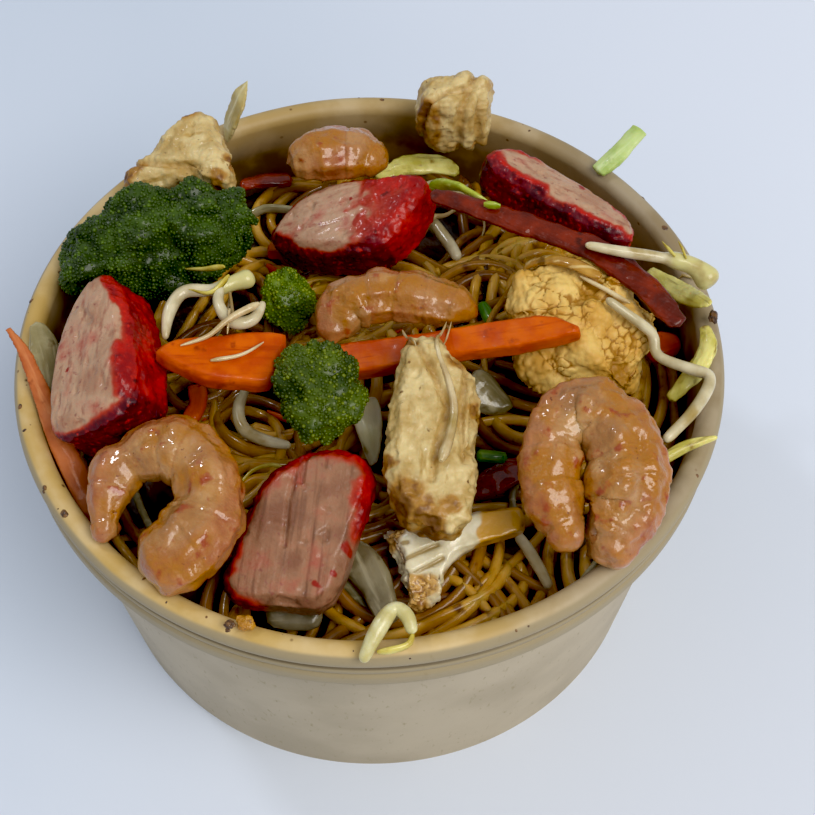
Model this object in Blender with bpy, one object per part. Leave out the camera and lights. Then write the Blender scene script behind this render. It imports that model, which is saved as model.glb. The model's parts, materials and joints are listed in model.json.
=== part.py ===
"""A round paper takeaway bowl filled with stir-fried noodles, meat, prawns and vegetables.

Every length is in metres. The origin is on the table under the middle of the bowl, +Z is up
and +Y runs from the front of the bowl to its back. Each piece of food is a solid of its own,
laid on the pile from the bottom up, so that it rests on what is under it.
"""

import math
import random

import bmesh
import bpy
from mathutils import Euler, Matrix, Vector, noise
from mathutils.bvhtree import BVHTree

MM = 0.001
GAP = 0.35 * MM

# The bowl: a one-litre paper bowl with a rolled lip and a smooth band under it.
LIP_DIAMETER = 150 * MM
BASE_DIAMETER = 128 * MM
BOWL_HEIGHT = 75 * MM
PAPER = 0.6 * MM
LIP_BEAD = 5 * MM
BAND_HEIGHT = 7.5 * MM
BAND_INSET = 0.8 * MM
WALL_TOP_DIAMETER = 141 * MM
FLOOR_RECESS = 6 * MM
FOOT_FOLD = 1.4 * MM
BOWL_SIDES = 52

# The noodle heap: its bare core, and the noodles that show on top of it.
CORE_EDGE_HEIGHT = 55 * MM
CORE_MIDDLE_RISE = 4 * MM
CORE_RUMPLE = 1.2 * MM
CORE_RINGS = 9
CORE_SIDES = 40
NOODLE_WIDTH = 4.2 * MM
NOODLE_SIDES = 5
NOODLE_STEP = 4.2 * MM
LOOSE_NOODLES = 27
NOODLE_SEED = 4

# Places where the noodles are piled higher: x, y, height and radius in millimetres.
MOUNDS = (
    (24, 24, 7, 13),
    (14, -50, 5, 13),
    (61, 4, 8, 10),
    (42, 4, 3, 14),
    (-22, -20, 5, 12),
    (-8, 18, 6, 10),
    (-30, 56, 12, 11),
    (-9, 57, 14, 10),
    (20, 59, 14, 10),
)


def clear_scene():
    for old in list(bpy.data.objects):
        bpy.data.objects.remove(old)
    for mesh in list(bpy.data.meshes):
        bpy.data.meshes.remove(mesh)
    for old in list(bpy.data.materials):
        bpy.data.materials.remove(old)


def finish(name, colour, roughness=0.5):
    """The piece's own material."""
    made = bpy.data.materials.new(name)
    made.use_nodes = True
    shader = made.node_tree.nodes["Principled BSDF"]
    shader.inputs["Base Color"].default_value = (*colour, 1)
    shader.inputs["Roughness"].default_value = roughness
    return made


def add_piece(name, bm, colour, roughness=0.5):
    """Makes an object of a bmesh, with every face pointing out."""
    bmesh.ops.recalc_face_normals(bm, faces=bm.faces)
    mesh = bpy.data.meshes.new(name)
    bm.to_mesh(mesh)
    bm.free()
    mesh.shade_smooth()
    mesh.set_sharp_from_angle(angle=math.radians(50))
    mesh.materials.append(finish(name, colour, roughness))
    piece = bpy.data.objects.new(name, mesh)
    bpy.context.scene.collection.objects.link(piece)
    return piece


# Shape makers. Each returns a bmesh in the piece's own frame.


def skin_rings(bm, rings):
    """Joins closed rings of vertices, each to the next, with triangles."""
    for low, high in zip(rings, rings[1:]):
        count = len(low)
        for i in range(count):
            j = (i + 1) % count
            bm.faces.new((low[i], low[j], high[j]))
            bm.faces.new((low[i], high[j], high[i]))


def cap_ring(bm, ring, point):
    """Closes a ring with a fan of triangles round one point."""
    tip = bm.verts.new(point)
    for i, corner in enumerate(ring):
        bm.faces.new((corner, ring[(i + 1) % len(ring)], tip))


def turned(profile, sides):
    """Turns a profile of (radius, height) points about Z; its two ends lie on the axis."""
    bm = bmesh.new()
    rings = []
    for radius, height in profile[1:-1]:
        ring = []
        for i in range(sides):
            angle = 2 * math.pi * i / sides
            ring.append(bm.verts.new((radius * math.cos(angle), radius * math.sin(angle), height)))
        rings.append(ring)
    skin_rings(bm, rings)
    cap_ring(bm, rings[0], (0, 0, profile[0][1]))
    cap_ring(bm, rings[-1], (0, 0, profile[-1][1]))
    return bm


def spline_points(points, count, closed=False):
    """Evenly counted points on a Catmull-Rom curve through hand-placed points."""
    points = [Vector(p) for p in points]
    if closed:
        points = [points[-1], *points, points[0], points[1]]
    else:
        points = [2 * points[0] - points[1], *points, 2 * points[-1] - points[-2]]
    spans = len(points) - 3
    steps = count if closed else count - 1
    made = []
    for i in range(count):
        along = spans * i / steps
        span = min(int(along), spans - 1)
        t = along - span
        a, b, c, d = points[span : span + 4]
        made.append(
            0.5 * (2 * b + (c - a) * t + (2 * a - 5 * b + 4 * c - d) * t**2 + (3 * b - a - 3 * c + d) * t**3)
        )
    return made


def slab(outline, thickness, corner, points=20, crown=0.0):
    """A cut slice: an outline in millimetres, with a rounded edge and a slightly domed face."""
    bm = bmesh.new()
    loop = spline_points([(x * MM, y * MM, 0) for x, y in outline], points, closed=True)
    middle = sum(loop, Vector()) / points
    levels = (
        (corner, thickness / 2),
        (0.0, thickness / 2 - corner),
        (0.0, corner - thickness / 2),
        (corner, -thickness / 2),
    )
    rings = []
    for inset, height in levels:
        ring = []
        for point in loop:
            inward = (middle - point).normalized() * inset
            ring.append(bm.verts.new(point + inward + Vector((0, 0, height))))
        rings.append(ring)
    skin_rings(bm, rings)
    cap_ring(bm, rings[0], middle + Vector((0, 0, thickness / 2 + crown)))
    cap_ring(bm, rings[-1], middle - Vector((0, 0, thickness / 2 + crown)))
    return bm


def swept(path, widths, sides=8, count=14, flat=1.0, tip=0.5, ripple=0.0, ripples=6):
    """A bent piece swept along a path in millimetres.

    widths are its widths along the path, flat its height as a share of its width, and tip how
    far its ends round off. A ripple gives it rings, as on a prawn.
    """
    bm = bmesh.new()
    spine = spline_points([Vector(p) * MM for p in path], count)
    wide = spline_points([(w * MM, 0, 0) for w in widths], count)
    rings = []
    for i, point in enumerate(spine):
        ahead = spine[min(i + 1, count - 1)] - spine[max(i - 1, 0)]
        ahead.normalize()
        across = ahead.cross(Vector((0, 0, 1))).normalized()
        upward = across.cross(ahead)
        ring_wave = 1 + ripple * abs(math.sin(math.pi * ripples * i / (count - 1)))
        radius = wide[i].x / 2 * ring_wave
        ring = []
        for k in range(sides):
            angle = 2 * math.pi * (k + 0.5) / sides
            offset = across * math.cos(angle) * radius + upward * math.sin(angle) * radius * flat
            ring.append(bm.verts.new(point + offset))
        rings.append(ring)
    skin_rings(bm, rings)
    for ring, end, inner, width in (
        (rings[0], spine[0], spine[1], wide[0].x),
        (rings[-1], spine[-1], spine[-2], wide[-1].x),
    ):
        cap_ring(bm, ring, end + (end - inner).normalized() * width / 2 * tip)
    return bm


def lumped(size, detail, lobes, depth, seed, grain=0.0):
    """A rounded lump of a size in millimetres, with lobes across it and a finer grain."""
    bm = bmesh.new()
    bmesh.ops.create_icosphere(bm, subdivisions=detail, radius=0.5)
    shift = Vector((seed * 7.3, seed * 1.7, seed * 3.1))
    half = Vector(size) * MM
    for vert in bm.verts:
        way = vert.co.normalized()
        cell = noise.voronoi(way * lobes + shift)[0][0]
        fine = noise.noise(way * 3 * lobes + shift)
        swell = 1 + depth * (0.5 - cell) + grain * fine
        vert.co = Vector((way.x * half.x, way.y * half.y, way.z * half.z)) / 2 * swell
    return bm


# The bowl.


def bead_arc(steps):
    """The rolled lip's round section, from its inner side over the top to its outer side."""
    radius = LIP_BEAD / 2
    middle = LIP_DIAMETER / 2 - radius
    points = []
    for i in range(steps + 1):
        angle = math.radians(190) - math.radians(240) * i / steps
        points.append((middle + radius * math.cos(angle), BOWL_HEIGHT - radius + radius * math.sin(angle)))
    return points


def paper_bowl():
    base = BASE_DIAMETER / 2
    wall_top = WALL_TOP_DIAMETER / 2
    band_top = BOWL_HEIGHT - LIP_BEAD + 0.4 * MM
    band_bottom = band_top - BAND_HEIGHT
    band = LIP_DIAMETER / 2 - BAND_INSET
    step = 1.6 * MM
    slope = (wall_top - base) / (band_bottom - step)
    floor_top = FLOOR_RECESS + PAPER
    profile = [
        (0, floor_top),
        (base + slope * floor_top - PAPER, floor_top),
        (wall_top - PAPER, band_bottom - step),
        (LIP_DIAMETER / 2 - LIP_BEAD, band_bottom),
        *bead_arc(6),
        (band - 0.3 * MM, band_top),
        (band, band_top - 0.9 * MM),
        (band, band_bottom + 0.8 * MM),
        (band - 0.8 * MM, band_bottom),
        (wall_top, band_bottom - step),
        (base, 0),
        (base - FOOT_FOLD, 0),
        (base - FOOT_FOLD, FLOOR_RECESS),
        (0, FLOOR_RECESS),
    ]
    return add_piece("paper_bowl", turned(profile, BOWL_SIDES), (0.62, 0.50, 0.33), 0.55)


def inner_radius(height):
    """The radius of the bowl's inside at a height, below its band."""
    wall_height = BOWL_HEIGHT - LIP_BEAD - BAND_HEIGHT - 1.2 * MM
    taper = (WALL_TOP_DIAMETER - BASE_DIAMETER) / 2 / wall_height
    return BASE_DIAMETER / 2 + taper * height - PAPER


# The noodle heap.


def core_height(x, y):
    """The height of the bare heap's top at a point."""
    edge = inner_radius(CORE_EDGE_HEIGHT)
    out = min(1.0, math.hypot(x, y) / edge)
    height = CORE_EDGE_HEIGHT + CORE_MIDDLE_RISE * (1 - out**2)
    for mound_x, mound_y, rise, reach in MOUNDS:
        away = math.hypot(x - mound_x * MM, y - mound_y * MM) / (reach * MM)
        height += rise * MM * math.exp(-(away**2)) * (1 - out**6)
    return height + CORE_RUMPLE * noise.noise(Vector((x, y, 0)) / (9 * MM)) * (1 - out**6)


def noodle_core():
    """The heap without its loose noodles: it fills the bowl with a thin gap to the paper."""
    bm = bmesh.new()
    top_radius = inner_radius(CORE_EDGE_HEIGHT) - 2 * GAP
    floor = FLOOR_RECESS + PAPER + GAP
    rings = []
    for k in range(CORE_RINGS, 0, -1):
        radius = top_radius * k / CORE_RINGS
        ring = []
        for i in range(CORE_SIDES):
            angle = 2 * math.pi * i / CORE_SIDES
            x, y = radius * math.cos(angle), radius * math.sin(angle)
            ring.append(bm.verts.new((x, y, core_height(x, y))))
        rings.append(ring)
    bottom_radius = inner_radius(floor) - 2 * GAP
    bottom = []
    for i in range(CORE_SIDES):
        angle = 2 * math.pi * i / CORE_SIDES
        x, y = bottom_radius * math.cos(angle), bottom_radius * math.sin(angle)
        bottom.append(bm.verts.new((x, y, floor)))
    skin_rings(bm, [bottom, *rings])
    cap_ring(bm, rings[-1], (0, 0, core_height(0, 0)))
    cap_ring(bm, bottom, (0, 0, floor))
    return add_piece("noodle_heap", bm, (0.42, 0.24, 0.06), 0.35)


# Noodles that the eye picks out, as points in millimetres along each.
NOODLE_ROUTES = (
    ((10, 10), (14, 22), (24, 29), (34, 27), (40, 22)),
    ((15, 8), (18, 18), (26, 24), (35, 23)),
    ((20, 4), (21, 12), (26, 18), (32, 18)),
    ((2, -52), (12, -57), (23, -55), (31, -48), (30, -41)),
    ((16, -49), (23, -48), (27, -44), (26, -38)),
    ((64, 10), (62, 1), (58, -8), (50, -14)),
    ((58, 16), (63, 8), (64, -2), (60, -14)),
    ((-34, -2), (-30, -8), (-31, -16), (-35, -22)),
    ((-27, -10), (-22, -15), (-16, -18), (-9, -17)),
    ((-26, -20), (-20, -23), (-14, -22), (-8, -26)),
    ((-34, 22), (-28, 27), (-22, 30), (-17, 34)),
    ((-20, 24), (-12, 22), (-6, 25), (2, 22)),
    ((-38, 60), (-31, 64), (-23, 62), (-16, 64)),
    ((-34, 52), (-28, 56), (-20, 55), (-14, 50)),
    ((30, -12), (34, -20), (32, -30), (26, -36)),
    ((12, 62), (20, 60), (30, 64), (38, 58)),
)


def loose_routes():
    """More noodles, strewn evenly as short bent arcs by a seeded rule."""
    draw = random.Random(NOODLE_SEED)
    routes = []
    for i in range(LOOSE_NOODLES):
        out = 62 * math.sqrt((i + 0.5) / LOOSE_NOODLES)
        turn = i * 2.39996
        x, y = out * math.cos(turn), out * math.sin(turn)
        bend, sweep = draw.uniform(9, 20), draw.uniform(0.8, 1.7)
        start = draw.uniform(0, 2 * math.pi)
        routes.append(
            [
                (
                    x + bend * (math.cos(start + sweep * k / 4) - math.cos(start)),
                    y + bend * (math.sin(start + sweep * k / 4) - math.sin(start)),
                )
                for k in range(5)
            ]
        )
    return routes


def clear_run(route, pile):
    """The longest run of a noodle's points that stays clear of the dish and the toppings."""
    length = sum((Vector(a) - Vector(b)).length for a, b in zip(route, route[1:])) * MM
    count = max(4, int(length / NOODLE_STEP))
    runs, run = [], []
    for point in spline_points([(x * MM, y * MM, 0) for x, y in route], count):
        point.z = core_height(point.x, point.y) + 0.25 * NOODLE_WIDTH
        near = pile.find_nearest(point)[3]
        inside = math.hypot(point.x, point.y) < inner_radius(point.z) - NOODLE_WIDTH
        if inside and near > NOODLE_WIDTH * 0.72 + GAP:
            run.append(point)
        else:
            runs.append(run)
            run = []
    runs.append(run)
    return max(runs, key=len)


def add_noodles(core, pile):
    """Fuses the noodles that show onto the bare core with one union."""
    strands = bpy.data.collections.new("strands")
    bpy.context.scene.collection.children.link(strands)
    for number, route in enumerate((*NOODLE_ROUTES, *loose_routes())):
        points = clear_run(route, pile)
        if len(points) < 4:
            continue
        width = NOODLE_WIDTH / MM
        bm = swept(
            [p / MM for p in points], (width * 0.9, width, width * 0.9),
            sides=NOODLE_SIDES, count=len(points), flat=0.8,
        )
        strand = add_piece(f"strand_{number}", bm, (0.5, 0.3, 0.08))
        bpy.context.scene.collection.objects.unlink(strand)
        strands.objects.link(strand)
    union = core.modifiers.new("noodles", "BOOLEAN")
    union.operation = "UNION"
    union.operand_type = "COLLECTION"
    union.collection = strands
    union.solver = "EXACT"
    fused = bpy.data.meshes.new_from_object(core.evaluated_get(bpy.context.evaluated_depsgraph_get()))
    core.modifiers.remove(union)
    core.data = fused
    for strand in list(strands.objects):
        bpy.data.objects.remove(strand)
    bpy.data.collections.remove(strands)


# The toppings' outlines and paths, in millimetres in each piece's own frame.

PORK_FRONT = (
    (-14, -9), (-10.6, 0), (-6.2, 9.4), (0.6, 14.6), (8, 15.6), (14, 12.4), (15.4, 8.6), (13.4, 2),
    (10, -7.6), (5.7, -15.6), (-3.2, -15.2), (-11.4, -14),
)
PORK_LEFT = (
    (-10, -16), (-10.5, 0), (-7.5, 10), (-2, 17), (2, 18), (6.5, 12), (9, 2), (10, -8), (9, -15), (0, -18),
)
PORK_BACK = (
    (-18, -1), (-11, 7), (0, 10), (12, 9), (19, 7), (18, 0), (12, -8), (5, -10.5), (-5, -9), (-14, -5),
)
PORK_RIGHT = (
    (-18, -2), (-15, 3.4), (-4, 5.4), (8, 5.4), (17, 3), (19, -1.4), (12, -5), (0, -5.6), (-12, -5.6),
)
CHICKEN_MIDDLE = (
    (-4.7, 20), (1.9, 20.3), (4.2, 15.7), (8.5, 12.6), (9, 4), (8.5, -6), (6.6, -17.8), (0, -20.3),
    (-5.7, -15.7), (-7.9, -8.4), (-8.5, 4.2), (-6.6, 12.6),
)
CHICKEN_LEFT = ((-13.6, -2.5), (-9, 2), (1, 11), (7, 8), (11, -7), (8, -9), (2.3, -6), (-11, -7))
CAULIFLOWER_SLICE = (
    (-12.8, 4), (-9.4, -3), (-8.4, -10), (-2, -8.4), (-1, -3.2), (3.2, 1), (9.6, 3.6), (15.2, 5.3),
    (14.2, 9.6), (5.6, 9), (-2, 6.4), (-10.4, 5.5),
)
CARROT_POINTED = (
    (-13, -0.5), (-9.2, 2.9), (-2.4, 4.6), (5.5, 6.3), (12.7, 6.5), (11.8, 0.5), (10.4, -5.3), (4.5, -5.8),
    (-2.4, -5.8), (-8.2, -3.4),
)
CARROT_LONG = (
    (-28, 2.6), (-12, 3.3), (5.7, 3.8), (20.6, 3.8), (25.5, 2), (28, -1.2), (15.6, -2.8), (1.8, -3),
    (-12, -3.8), (-22, -4.2), (-28, -2.4),
)
CARROT_CHIP = ((-2.4, 4), (1.6, 4.4), (2.6, 0), (1.5, -4), (-2, -4), (-1, 0))
CARROT_CHUNK = ((-3.6, 0.8), (-1, 3.2), (3, 2.9), (4, 0), (1.5, -3.2), (-2.6, -3.2))
ONION_WEDGE = ((-1.9, 6.3), (0.8, 7.6), (3, 2.6), (3.4, -3.9), (1.9, -7.4), (-1.1, -2.4), (-3.6, 3.2))
ONION_TRIANGLE = ((-4.2, 4.3), (-0.5, 3.7), (5.2, -2), (1, -4.8), (-3.8, -4), (-5.4, 0))
ONION_PETAL = ((-3.4, 9), (0.6, 7.6), (4.2, 2), (5.4, -7.6), (1.2, -8), (-1.6, -2), (-4.8, 2), (-5.2, 6.4))
ONION_SHELL = ((-5, 2.4), (0, 3), (5.4, 2), (5, -2), (0, -2.8), (-5, -1.6))

PRAWN_LEFT = (
    (-0.6, -12.2, 0), (6, -9.2, 0), (9.5, 0, 0), (7.2, 8.2, 0.5), (0, 11.8, 0.5), (-7.9, 9.6, 0),
    (-11, 2, -1), (-11, -5.2, -2),
)
PRAWN_RIGHT = (
    (2.2, -14.6, -1), (7.6, -6.6, 0), (6.4, 4.2, 0.6), (1.6, 11.8, 0.6), (-5, 13, 0), (-8.8, 6.6, 0),
    (-8.8, -3.2, 0), (-4.6, -13, -1),
)
PRAWN_MIDDLE = ((-13, -6, -2), (-10.8, 0.6, 0), (-3.6, 2, 1), (4.4, 1, 1), (11.4, 0, 0), (15.2, -1.2, -1))
PRAWN_BACK = ((-9, -0.5, -1), (-2, 1, 0), (5.5, 1, 0), (10.5, -0.5, -1))

CARROT_STRIP = (
    (-11, 18, 11), (-7.6, 14, 8), (-3.8, 6.3, 4), (0.8, -3.4, 1), (5.8, -11.8, -5), (11, -18, -11),
)
PEPPER_LONG = (
    (-25, 16, -0.4), (-16, 12.5, -0.4), (-7, 8.5, 0), (1.7, 4.9, 0), (10.3, 0.5, 0), (19.5, -8.2, 0),
    (25, -16.6, 0),
)
PEPPER_SHORT = ((-5.2, -2.6, 0), (0, -0.5, 1), (5.2, 2.6, 0))
PEPPER_STUB = ((-5.5, -1, 0), (0, 0.3, 0.5), (5.5, 1, 0))
CABBAGE_CURL = ((-4, 6, 2.4), (-1.6, 2, 1.2), (0, -3.4, 0), (2.4, -7, -1.6))
LEEK_PALE = ((-9.5, -2, 0), (-3, 0.6, 0.8), (5, 1.2, 0.4), (9.5, -0.6, 0))
LEAF_BLADE = ((-3, -1.6, -7), (-1.6, -1, -2.5), (0.7, 0.1, 3.5), (3.2, 1.6, 8))
LEEK_STICK = ((-5, -4, -2.5), (0, 0, -0.5), (5, 4.6, 2.5))
CABBAGE_STRIP = ((-6.2, 8, -2), (-1.6, 2.7, -2), (2.3, -3.5, 0), (6.2, -8, 2))
CABBAGE_RIB = ((4.6, 7, 1.6), (4.4, 2.6, 0), (1, -2.8, -0.6), (-4.6, -7, -1.6))
SCALLION_RING = ((-2.8, 0.3, 0), (0, 0, 0), (2.8, -0.3, 0))
SCALLION_STUB = ((-0.9, 2.5, 0), (0, 0, 0), (0.9, -2.5, 0))

SPROUT_CURL = ((-9, -8, -1.5), (-8.6, -2.5, 0), (-6, 2.4, 1), (-0.5, 2.6, 1), (4, 4.6, 1), (7.6, 6, 1))
SPROUT_HOOK = ((-4.4, 5, 0.5), (-4.4, 0, 0.8), (-1.2, -4, 0), (3, -3, 0), (4.6, 1, 0.4))
SPROUT_ARC = ((-4, 8, 0.5), (-5.4, 3, 0), (-4, -2, -0.3), (0.5, -5, 0), (6, -6.6, 0.3))
SPROUT_STEM = ((-3.2, 6, 1), (-0.6, 1.4, 0.3), (1.6, -2.6, 0), (3, -6, 0))
SPROUT_HEADED = ((-9, 0.5, 0), (-4, 3, 1), (0.5, 1.2, 1), (5, -3, 0.4), (9.6, -4.6, 0))
SPROUT_LONG = ((-12.9, 2.6, 2.5), (-4.6, 1.4, 1.5), (3.4, 0.7, 0.5), (9.4, -0.6, -0.5), (12.9, -3, -2.5))
SPROUT_BENT = (
    (-10.7, 14, 5), (-5.2, 11.4, 2), (-0.7, 10.4, -2), (0.2, 6.6, -4.4), (6.8, 2.9, -4), (10.4, 0.5, -3.8),
    (6.4, -7.1, -4), (-0.2, -14, -5),
)
SPROUT_FORK = ((-4.6, -5.4, -1), (-2, -0.6, 1.6), (1, 3.6, 2.4), (3.4, 2.2, 2.2), (4.4, -0.8, 1.4))
SPROUT_SLANT = ((-3, 5.6, 1), (0, 1, 0), (3, -5.4, -1))
SPROUT_TENDRIL = ((-5.6, -2, -1.3), (-0.3, 1, -0.3), (5.6, 2, 1.3))

DARK_GREEN = (0.03, 0.10, 0.02)
MEAT_RED = (0.45, 0.03, 0.03)
PRAWN_PINK = (0.72, 0.42, 0.27)
CHICKEN_TAN = (0.72, 0.55, 0.32)
CREAM = (0.80, 0.62, 0.30)
CARROT_ORANGE = (0.85, 0.25, 0.02)
PEPPER_RED = (0.35, 0.03, 0.01)
ONION_WHITE = (0.62, 0.58, 0.45)
PALE_GREEN = (0.55, 0.62, 0.22)
SCALLION_GREEN = (0.10, 0.30, 0.03)
SPROUT_WHITE = (0.82, 0.76, 0.60)

# The toppings from the bottom of the pile up: name, colour, maker and the turn about X, Y and Z
# in degrees. Where each lies is in PLACES.
TOPPINGS = (
    ("onion_petal", ONION_WHITE, lambda: slab(ONION_PETAL, 3 * MM, 1.0 * MM, 16), (20, -10, 0)),
    ("onion_shell", ONION_WHITE, lambda: slab(ONION_SHELL, 3 * MM, 1.0 * MM, 14), (25, 0, 0)),
    ("cabbage_curl", ONION_WHITE, lambda: swept(CABBAGE_CURL, (4, 7, 8, 5), 8, 9, 0.35), (0, 25, 0)),
    ("pepper_short", PEPPER_RED, lambda: swept(PEPPER_SHORT, (5, 7, 6), 8, 8, 0.5), (10, 0, 0)),
    ("pepper_stub", PEPPER_RED, lambda: swept(PEPPER_STUB, (3.4, 4.6, 4), 6, 7, 0.6), (0, 0, 0)),
    ("carrot_chunk", CARROT_ORANGE, lambda: slab(CARROT_CHUNK, 4.6 * MM, 0.8 * MM, 12), (0, 15, 0)),
    ("carrot_back", CARROT_ORANGE, lambda: slab(CARROT_CHIP, 3 * MM, 0.6 * MM, 12), (0, 0, 70)),
    ("leek_pale", PALE_GREEN, lambda: swept(LEEK_PALE, (3.4, 6, 6, 3.6), 6, 10, 0.4), (15, 0, 0)),
    ("onion_triangle", ONION_WHITE, lambda: slab(ONION_TRIANGLE, 3.4 * MM, 1 * MM, 14), (25, 15, 0)),
    ("onion_wedge", ONION_WHITE, lambda: slab(ONION_WEDGE, 4 * MM, 1.2 * MM, 14), (20, 20, 0)),
    ("scallion_ring", SCALLION_GREEN, lambda: swept(SCALLION_RING, (3, 3.2, 3), 6, 5), (0, 0, 0)),
    ("scallion_stub", SCALLION_GREEN, lambda: swept(SCALLION_STUB, (2.6, 3.2, 2.6), 6, 5), (0, 0, 0)),
    ("scallion_light", PALE_GREEN, lambda: swept(SCALLION_RING, (2, 2.4, 2), 6, 5), (0, 0, 0)),
    ("cabbage_rib", PALE_GREEN, lambda: swept(CABBAGE_RIB, (3, 4.4, 4.6, 3), 6, 9, 0.5), (0, -20, 0)),
    ("carrot_chip", CARROT_ORANGE, lambda: slab(CARROT_CHIP, 2.6 * MM, 0.6 * MM, 12), (10, 0, -10)),
    ("sprout_arc", SPROUT_WHITE, lambda: swept(SPROUT_ARC, (2.2, 3.2, 3.4, 3.2, 2.4), 6, 12), (0, 0, 0)),
    ("sprout_slant", SPROUT_WHITE, lambda: swept(SPROUT_SLANT, (2.4, 3, 2.6), 6, 8), (0, 0, 0)),
    ("leaf_blade", PALE_GREEN, lambda: swept(LEAF_BLADE, (4, 6, 6.4, 1.2), 6, 9, 0.25), (0, 0, 0)),
    (
        "carrot_strip", CARROT_ORANGE,
        lambda: swept(CARROT_STRIP, (1.6, 3, 4.4, 5.6, 6, 5.6), 6, 14, 0.34), (0, 0, 0),
    ),
    ("pork_back", MEAT_RED, lambda: slab(PORK_BACK, 13 * MM, 2.4 * MM, 24, 0.6 * MM), (8, -20, -4)),
    ("broccoli_large", DARK_GREEN, lambda: lumped((43, 23, 28), 4, 2.3, 0.34, 3, 0.05), (12, -8, 14)),
    ("chicken_left", CHICKEN_TAN, lambda: slab(CHICKEN_LEFT, 8 * MM, 2 * MM, 20, 0.8 * MM), (10, -14, 0)),
    ("pork_left", MEAT_RED, lambda: slab(PORK_LEFT, 15 * MM, 2.4 * MM, 24, 0.6 * MM), (8, -30, 0)),
    ("cauliflower_large", CREAM, lambda: lumped((33, 35, 24), 3, 2.0, 0.30, 8, 0.05), (12, 0, 40)),
    ("pork_right", MEAT_RED, lambda: slab(PORK_RIGHT, 10 * MM, 2 * MM, 24, 0.6 * MM), (-16, 6, -37)),
    (
        "pepper_long", PEPPER_RED,
        lambda: swept(PEPPER_LONG, (4, 5.4, 6, 6, 6.4, 6.6, 5), 8, 16, 0.45), (8, 0, 0),
    ),
    ("cabbage_strip", PALE_GREEN, lambda: swept(CABBAGE_STRIP, (3, 5, 5, 2.4), 6, 9, 0.4), (0, -20, 0)),
    (
        "prawn_back", PRAWN_PINK,
        lambda: swept(PRAWN_BACK, (8, 12.6, 12, 6), 8, 12, 0.8, 0.6, 0.08), (0, 0, 0),
    ),
    ("chicken_back", CHICKEN_TAN, lambda: lumped((18, 13, 19), 2, 1.7, 0.24, 5, 0.10), (-8, 10, 8)),
    ("leek_stick", PALE_GREEN, lambda: swept(LEEK_STICK, (4.4, 5, 5.4), 6, 7, 0.45, 0.1), (0, 0, 0)),
    ("pork_front", MEAT_RED, lambda: slab(PORK_FRONT, 11 * MM, 2.2 * MM, 26, 0.5 * MM), (18, -4, 0)),
    ("cauliflower_slice", CREAM, lambda: slab(CAULIFLOWER_SLICE, 6 * MM, 1.4 * MM, 24), (20, 0, 0)),
    (
        "prawn_left", PRAWN_PINK,
        lambda: swept(PRAWN_LEFT, (11.6, 14.6, 14, 13, 12, 9.6, 7.6, 5), 8, 22, 0.8, 0.5, 0.09, 7),
        (8, -4, 0),
    ),
    (
        "sprout_tendril", PALE_GREEN,
        lambda: swept(SPROUT_TENDRIL, (2.6, 3, 2.6, 1.2), 6, 9), (0, 0, 0),
    ),
    (
        "prawn_right", PRAWN_PINK,
        lambda: swept(PRAWN_RIGHT, (9, 12.4, 13, 11, 9, 7.6, 7.4, 5.4), 8, 22, 0.85, 0.5, 0.09, 7),
        (20, 6, 0),
    ),
    ("carrot_long", CARROT_ORANGE, lambda: slab(CARROT_LONG, 4.4 * MM, 1 * MM, 22), (8, -12, 0)),
    (
        "prawn_middle", PRAWN_PINK,
        lambda: swept(PRAWN_MIDDLE, (6.6, 10.4, 11.4, 11, 9.8, 5.2), 8, 16, 0.8, 0.6, 0.08), (6, 0, 0),
    ),
    ("carrot_pointed", CARROT_ORANGE, lambda: slab(CARROT_POINTED, 5 * MM, 1 * MM, 20), (6, 9, 0)),
    (
        "sprout_curl", SPROUT_WHITE,
        lambda: swept(SPROUT_CURL, (1.6, 3.2, 3.4, 3.2, 2.4, 3.8), 6, 14), (0, 0, 0),
    ),
    ("sprout_hook", SPROUT_WHITE, lambda: swept(SPROUT_HOOK, (2, 3, 3.2, 3, 2), 6, 12), (0, 0, 0)),
    ("broccoli_upper", DARK_GREEN, lambda: lumped((12.5, 15, 11), 3, 2.2, 0.30, 2, 0.06), (10, 0, -15)),
    ("broccoli_lower", DARK_GREEN, lambda: lumped((17.5, 22, 14), 3, 2.4, 0.32, 6, 0.06), (14, 0, 20)),
    (
        "chicken_middle", CHICKEN_TAN,
        lambda: slab(CHICKEN_MIDDLE, 10 * MM, 2.4 * MM, 26, 0.8 * MM), (12, 4, 0),
    ),
    ("sprout_stem", SPROUT_WHITE, lambda: swept(SPROUT_STEM, (2.4, 3.4, 3.6, 3), 6, 8), (0, 0, 0)),
    (
        "sprout_headed", SPROUT_WHITE,
        lambda: swept(SPROUT_HEADED, (1.4, 2.4, 4, 2.6, 2), 6, 12), (0, 0, 0),
    ),
    ("sprout_long", SPROUT_WHITE, lambda: swept(SPROUT_LONG, (2, 2.8, 2.8, 3.2, 5.6), 6, 12), (0, 0, 0)),
    (
        "sprout_bent", SPROUT_WHITE,
        lambda: swept(SPROUT_BENT, (2, 2.6, 2.8, 2.8, 3, 3, 3, 2.6), 6, 20), (0, 0, 0),
    ),
    ("sprout_fork", SPROUT_WHITE, lambda: swept(SPROUT_FORK, (2.6, 3.8, 3.4, 3.4, 2.6), 6, 12), (0, 0, 0)),
)

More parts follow.
